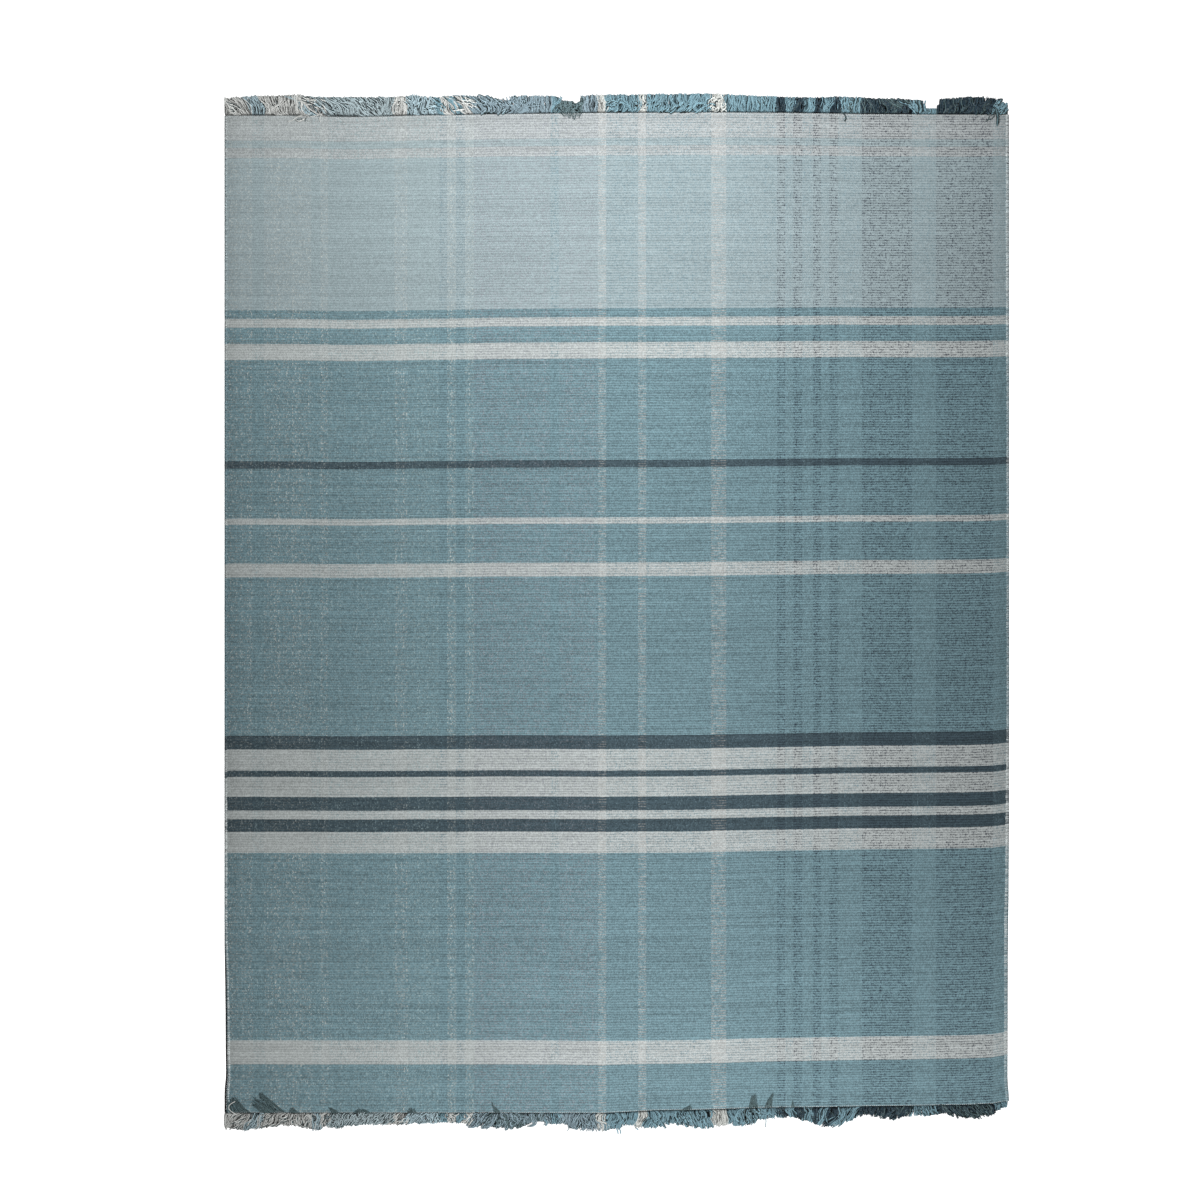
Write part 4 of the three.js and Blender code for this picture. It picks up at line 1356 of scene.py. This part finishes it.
def tangle_mesh(end):
    """Yarns that lie across the others, each along an arc of its own and painted lighter as a highlight,
    with a yarn beside each that is painted dark as the shadow where the yarns below part."""
    rng = np.random.default_rng(end.seed + 6)
    rows = np.repeat(np.array(end.tangles, float), [int(row[4]) for row in end.tangles], axis=0)
    first, last, low, high, _, heading, bend, run, shift = rows.T
    count = len(rows)
    t = np.linspace(-0.5, 0.5, TANGLE_STEPS + 1)[None, :]
    bend = bend * rng.uniform(*TANGLE_BENDS, count)
    bend = np.where((np.abs(bend) > LOOPED) & (rng.uniform(0, 1, count) < 0.5), -bend, bend)
    angle = np.radians((heading + rng.normal(0, TANGLE_TURN, count))[:, None] + bend[:, None] * t)
    step = np.stack([np.sin(angle), np.cos(angle)], -1) / TANGLE_STEPS
    step *= (run * rng.uniform(*TANGLE_RUNS, count))[:, None, None]
    travel = np.cumsum(step, axis=1)
    travel -= travel[:, TANGLE_STEPS // 2][:, None]
    x = rng.uniform(first, last)
    reach = between(end.table, x)
    out = (rng.uniform(low, high) * reach)[:, None] + travel[:, :, 1]
    out = np.clip(out, rng.uniform(*TANGLE_ROOTS, (count, 1)), reach[:, None] * TANGLE_REACH)
    paths = np.empty((count, TANGLE_STEPS + 1, 3))
    paths[:, :, 0] = np.clip(x[:, None] + travel[:, :, 0], -FRINGE_END, FRINGE_END)
    paths[:, :, 1] = between(end.line, x)[:, None] + end.outward * out
    arch = TANGLE_ARCH + rng.uniform(*TANGLE_ARCH_SHIFTS, (count, 1))
    paths[:, :, 2] = TANGLE_FOOT + arch * np.cos(np.pi * t)
    radii = np.full(paths.shape[:2], TANGLE_RADIUS) * rng.uniform(*TANGLE_WIDTHS, (count, 1))
    places = np.clip(x + shift, -HALF_WIDTH + 1, HALF_WIDTH - 1) + HALF_WIDTH
    dark = dark_share(rng, end.dark, x)
    tones = rng.uniform(*TANGLE_HIGHLIGHTS, count)

    beside = TANGLE_RADIUS * SHADOW_BESIDE * np.stack([step[:, :, 1], -step[:, :, 0]], -1)
    beside /= np.linalg.norm(step, axis=2, keepdims=True)
    under = paths.copy()
    under[:, :, 0] = np.clip(under[:, :, 0] + beside[:, :, 0], -FRINGE_END, FRINGE_END)
    under[:, :, 1] += end.outward * beside[:, :, 1]
    under[:, :, 2] -= SHADOW_BELOW
    shadow = (SHADOW_RADIUS * radii, places, np.ones(count), SHADOW_TONE * tones, 4)
    return merged((
        yarn_mesh(paths, radii, places, dark, end.tone * tones, 5, bake=TANGLE_BAKE, gap=TANGLE_GAP),
        yarn_mesh(under, *shadow, bake=SHADOW_BAKE, gap=SHADOW_GAP),
    ))


def wisp_mesh(end):
    """Thin dark yarns that leave the fringe and lie back on the cloth, gathered to a tip; their dark also
    paints the shade on the cloth there.
    """
    rng = np.random.default_rng(end.seed + 7)
    t = np.linspace(0, 1, WISP_STEPS + 1)[None, :]
    paths, places = [], []
    for first, last, first_tip, last_tip, low_rise, high_rise, yarns, bend in end.wisps:
        along = np.linspace(0, 1, yarns)
        x = first + (last - first) * along + rng.uniform(-WISP_SPREAD, WISP_SPREAD, yarns)
        tips = first_tip + (last_tip - first_tip) * along + rng.normal(0, 1.0, yarns)
        short = WISP_SHORTEST * rng.uniform(0, 1, yarns) ** 2
        rises = (low_rise + (high_rise - low_rise) * along) * (1.04 - short)
        path = np.empty((yarns, WISP_STEPS + 1, 3))
        path[:, :, 0] = x[:, None] + (tips - x)[:, None] * t ** bend
        line = between(end.line, path[:, :, 0])
        path[:, :, 1] = line + end.outward * (WISP_ROOT_IN - (rises[:, None] + WISP_ROOT_IN) * t)
        rise = (WISP_HEIGHT - WISP_ROOT_HEIGHT) * ease(t / WISP_RISE_OVER)
        path[:, :, 2] = WISP_ROOT_HEIGHT + rise + rng.uniform(*WISP_LIFTS, (yarns, 1))
        paths.append(path)
        places.append(x)
    paths = np.concatenate(paths)
    places = np.concatenate(places)
    count = len(paths)
    radii = WISP_RADIUS * (1 - WISP_TAPER * t ** 2) * rng.uniform(*WISP_WIDTHS, (count, 1))
    tones = rng.uniform(*WISP_TONES, count)
    return yarn_mesh(paths, radii, places + HALF_WIDTH, np.ones(count), tones, 4, bake=WISP_BAKE)


def smooth_line(points, steps):
    """A smooth line through the points, in even steps."""
    points = np.asarray(points, float)
    padded = np.concatenate([[2 * points[0] - points[1]], points, [2 * points[-1] - points[-2]]])
    place = np.linspace(0, len(points) - 1, steps + 1)
    start = np.minimum(place.astype(int), len(points) - 2)
    u = (place - start)[:, None]
    a, b, c, d = (padded[start + offset] for offset in range(4))
    return b + u / 2 * (c - a + u * (2 * a - 5 * b + 4 * c - d + u * (3 * b - a - 3 * c + d)))


def stray_mesh(end):
    """Single yarns that leave the fringe along lines of their own."""
    paths = np.empty((len(end.strays), STRAY_STEPS + 1, 3))
    for number, (_, _, _, *points) in enumerate(end.strays):
        line = smooth_line(points, STRAY_STEPS)
        paths[number, :, 0] = line[:, 0]
        paths[number, :, 1] = between(end.line, line[:, 0]) - end.outward * line[:, 1]
        paths[number, :, 2] = np.interp(line[:, 1], *zip(*STRAY_HEIGHTS))
    dark, tones, radii = np.array([row[:3] for row in end.strays]).T
    radii = radii[:, None] * np.ones((1, STRAY_STEPS + 1))
    return yarn_mesh(paths, radii, paths[:, 0, 0] + HALF_WIDTH, dark, tones, bake=STRAY_BAKE)


class RUG_OT_fringes(bpy.types.Operator):
    """Hang loose warp yarns from both ends"""

    bl_idname = "rug.fringes"
    bl_label = "Fringes"

    def execute(self, context):
        settings = context.scene.rug
        material = fringe_material(settings)
        for end in rug_ends(settings.fringe):
            parts = [layer_mesh(end, number, settings.fringe.length_share) for number in range(len(LAYERS))]
            parts += [tangle_mesh(end), wisp_mesh(end), stray_mesh(end)]
            add_piece(end.name, *merged(parts), material, "fringe_yarn", (end.node,))
        return {"FINISHED"}


# Stage

SENSOR = 36.0
# Key lights: x, y, height and power of each, in metres and watts
KEY_LIGHTS = (
    (-0.015, 1.320, 1.481, 26.3), (0.10, 0.469, 0.700, 1.12), (0.008, -0.316, 0.805, 1.78),
    (0.20, -1.600, 1.534, 26.4),
)
KEY_SIZE = 0.5
WASH_ANGLE = 40
FLOOR_HALF = 40.0
FLOOR_DROP = 0.0005
FLOOR_TINTS = ((0.86, 0.86, 0.86), (0.90, 0.90, 0.90))
# Height of the cloth's face, which the picture's scale is for
FACE_HEIGHT = 0.005


def floor_material():
    sheet = Sheet("studio_paper", roughness=0.9, sheen=0.0, gloss=0.25)
    place = sheet.node("ShaderNodeTexCoord").outputs["Object"]
    grain = sheet.noise(place, scale=3.0, detail=2.0)
    return sheet.finish(sheet.mix(grain, *FLOOR_TINTS))


class RUG_OT_stage(bpy.types.Operator):
    """Set the floor, the lights and the camera"""

    bl_idname = "rug.stage"
    bl_label = "Stage"

    def execute(self, context):
        scene = context.scene
        stage = scene.rug.stage
        scene.view_settings.view_transform = "Standard"
        floor_mesh = bpy.data.meshes.new("studio_floor")
        shape = bmesh.new()
        bmesh.ops.create_grid(shape, x_segments=8, y_segments=8, size=FLOOR_HALF)
        shape.to_mesh(floor_mesh)
        shape.free()
        floor = bpy.data.objects.new("studio_floor", floor_mesh)
        collection("stage").objects.link(floor)
        floor.location.z = -FLOOR_DROP
        floor_mesh.materials.append(floor_material())

        sun = bpy.data.lights.new("floor_wash", "SUN")
        sun.energy = stage.floor_light
        sun.angle = math.radians(WASH_ANGLE)
        wash = bpy.data.objects.new("floor_wash", sun)
        wash.light_linking.receiver_collection = collection("stage")
        scene.collection.objects.link(wash)
        for number, (x, y, height, power) in enumerate(KEY_LIGHTS):
            area = bpy.data.lights.new(f"key_light_{number + 1}", "AREA")
            area.shape = "DISK"
            area.size = KEY_SIZE
            area.energy = power * stage.key_power
            lamp = bpy.data.objects.new(area.name, area)
            lamp.location = (x, y, height)
            lamp.visible_camera = False
            lamp.light_linking.receiver_collection = collection("rug")
            scene.collection.objects.link(lamp)

        world = bpy.data.worlds.new("soft_room")
        world.use_nodes = True
        background = world.node_tree.nodes["Background"]
        background.inputs["Color"].default_value = (1, 1, 1, 1)
        background.inputs["Strength"].default_value = stage.room_light
        scene.world = world

        view = bpy.data.cameras.new("overhead_view")
        view.lens = stage.lens
        view.sensor_width = SENSOR
        camera = bpy.data.objects.new("overhead_view", view)
        middle = PICTURE_PIXELS / 2
        camera.location = (
            (middle - ORIGIN_PIXEL[0]) * PIXEL_MM * MM,
            (ORIGIN_PIXEL[1] - middle) * PIXEL_MM * MM,
            PICTURE_PIXELS * PIXEL_MM * MM * stage.lens / SENSOR + FACE_HEIGHT,
        )
        scene.collection.objects.link(camera)
        scene.camera = camera
        return {"FINISHED"}


class RUG_PT_panel(bpy.types.Panel):
    """Buttons and settings for the rug"""

    bl_idname = "RUG_PT_panel"
    bl_label = "Flatweave rug"
    bl_space_type = "VIEW_3D"
    bl_region_type = "UI"
    bl_category = "Rug"

    def draw(self, context):
        layout = self.layout
        for operator in OPERATORS:
            layout.operator(operator.bl_idname)
        for group_name in RugSettings.__annotations__:
            group = getattr(context.scene.rug, group_name)
            box = layout.box()
            box.label(text=group_name.capitalize())
            for setting in type(group).__annotations__:
                box.prop(group, setting)


OPERATORS = (RUG_OT_stage, RUG_OT_cloth, RUG_OT_edgings, RUG_OT_fringes)
GROUPS = (RugYarns, RugCloth, RugEdging, RugFringe, RugStage, RugSettings)
CLASSES = (*GROUPS, *OPERATORS, RUG_PT_panel)


def register():
    for cls in CLASSES:
        bpy.utils.register_class(cls)
    bpy.types.Scene.rug = PointerProperty(type=RugSettings)


def unregister():
    del bpy.types.Scene.rug
    for cls in reversed(CLASSES):
        bpy.utils.unregister_class(cls)


def main():
    register()
    bpy.ops.rug.stage()
    bpy.ops.rug.cloth()
    bpy.ops.rug.edgings()
    bpy.ops.rug.fringes()


if __name__ == "__main__":
    main()
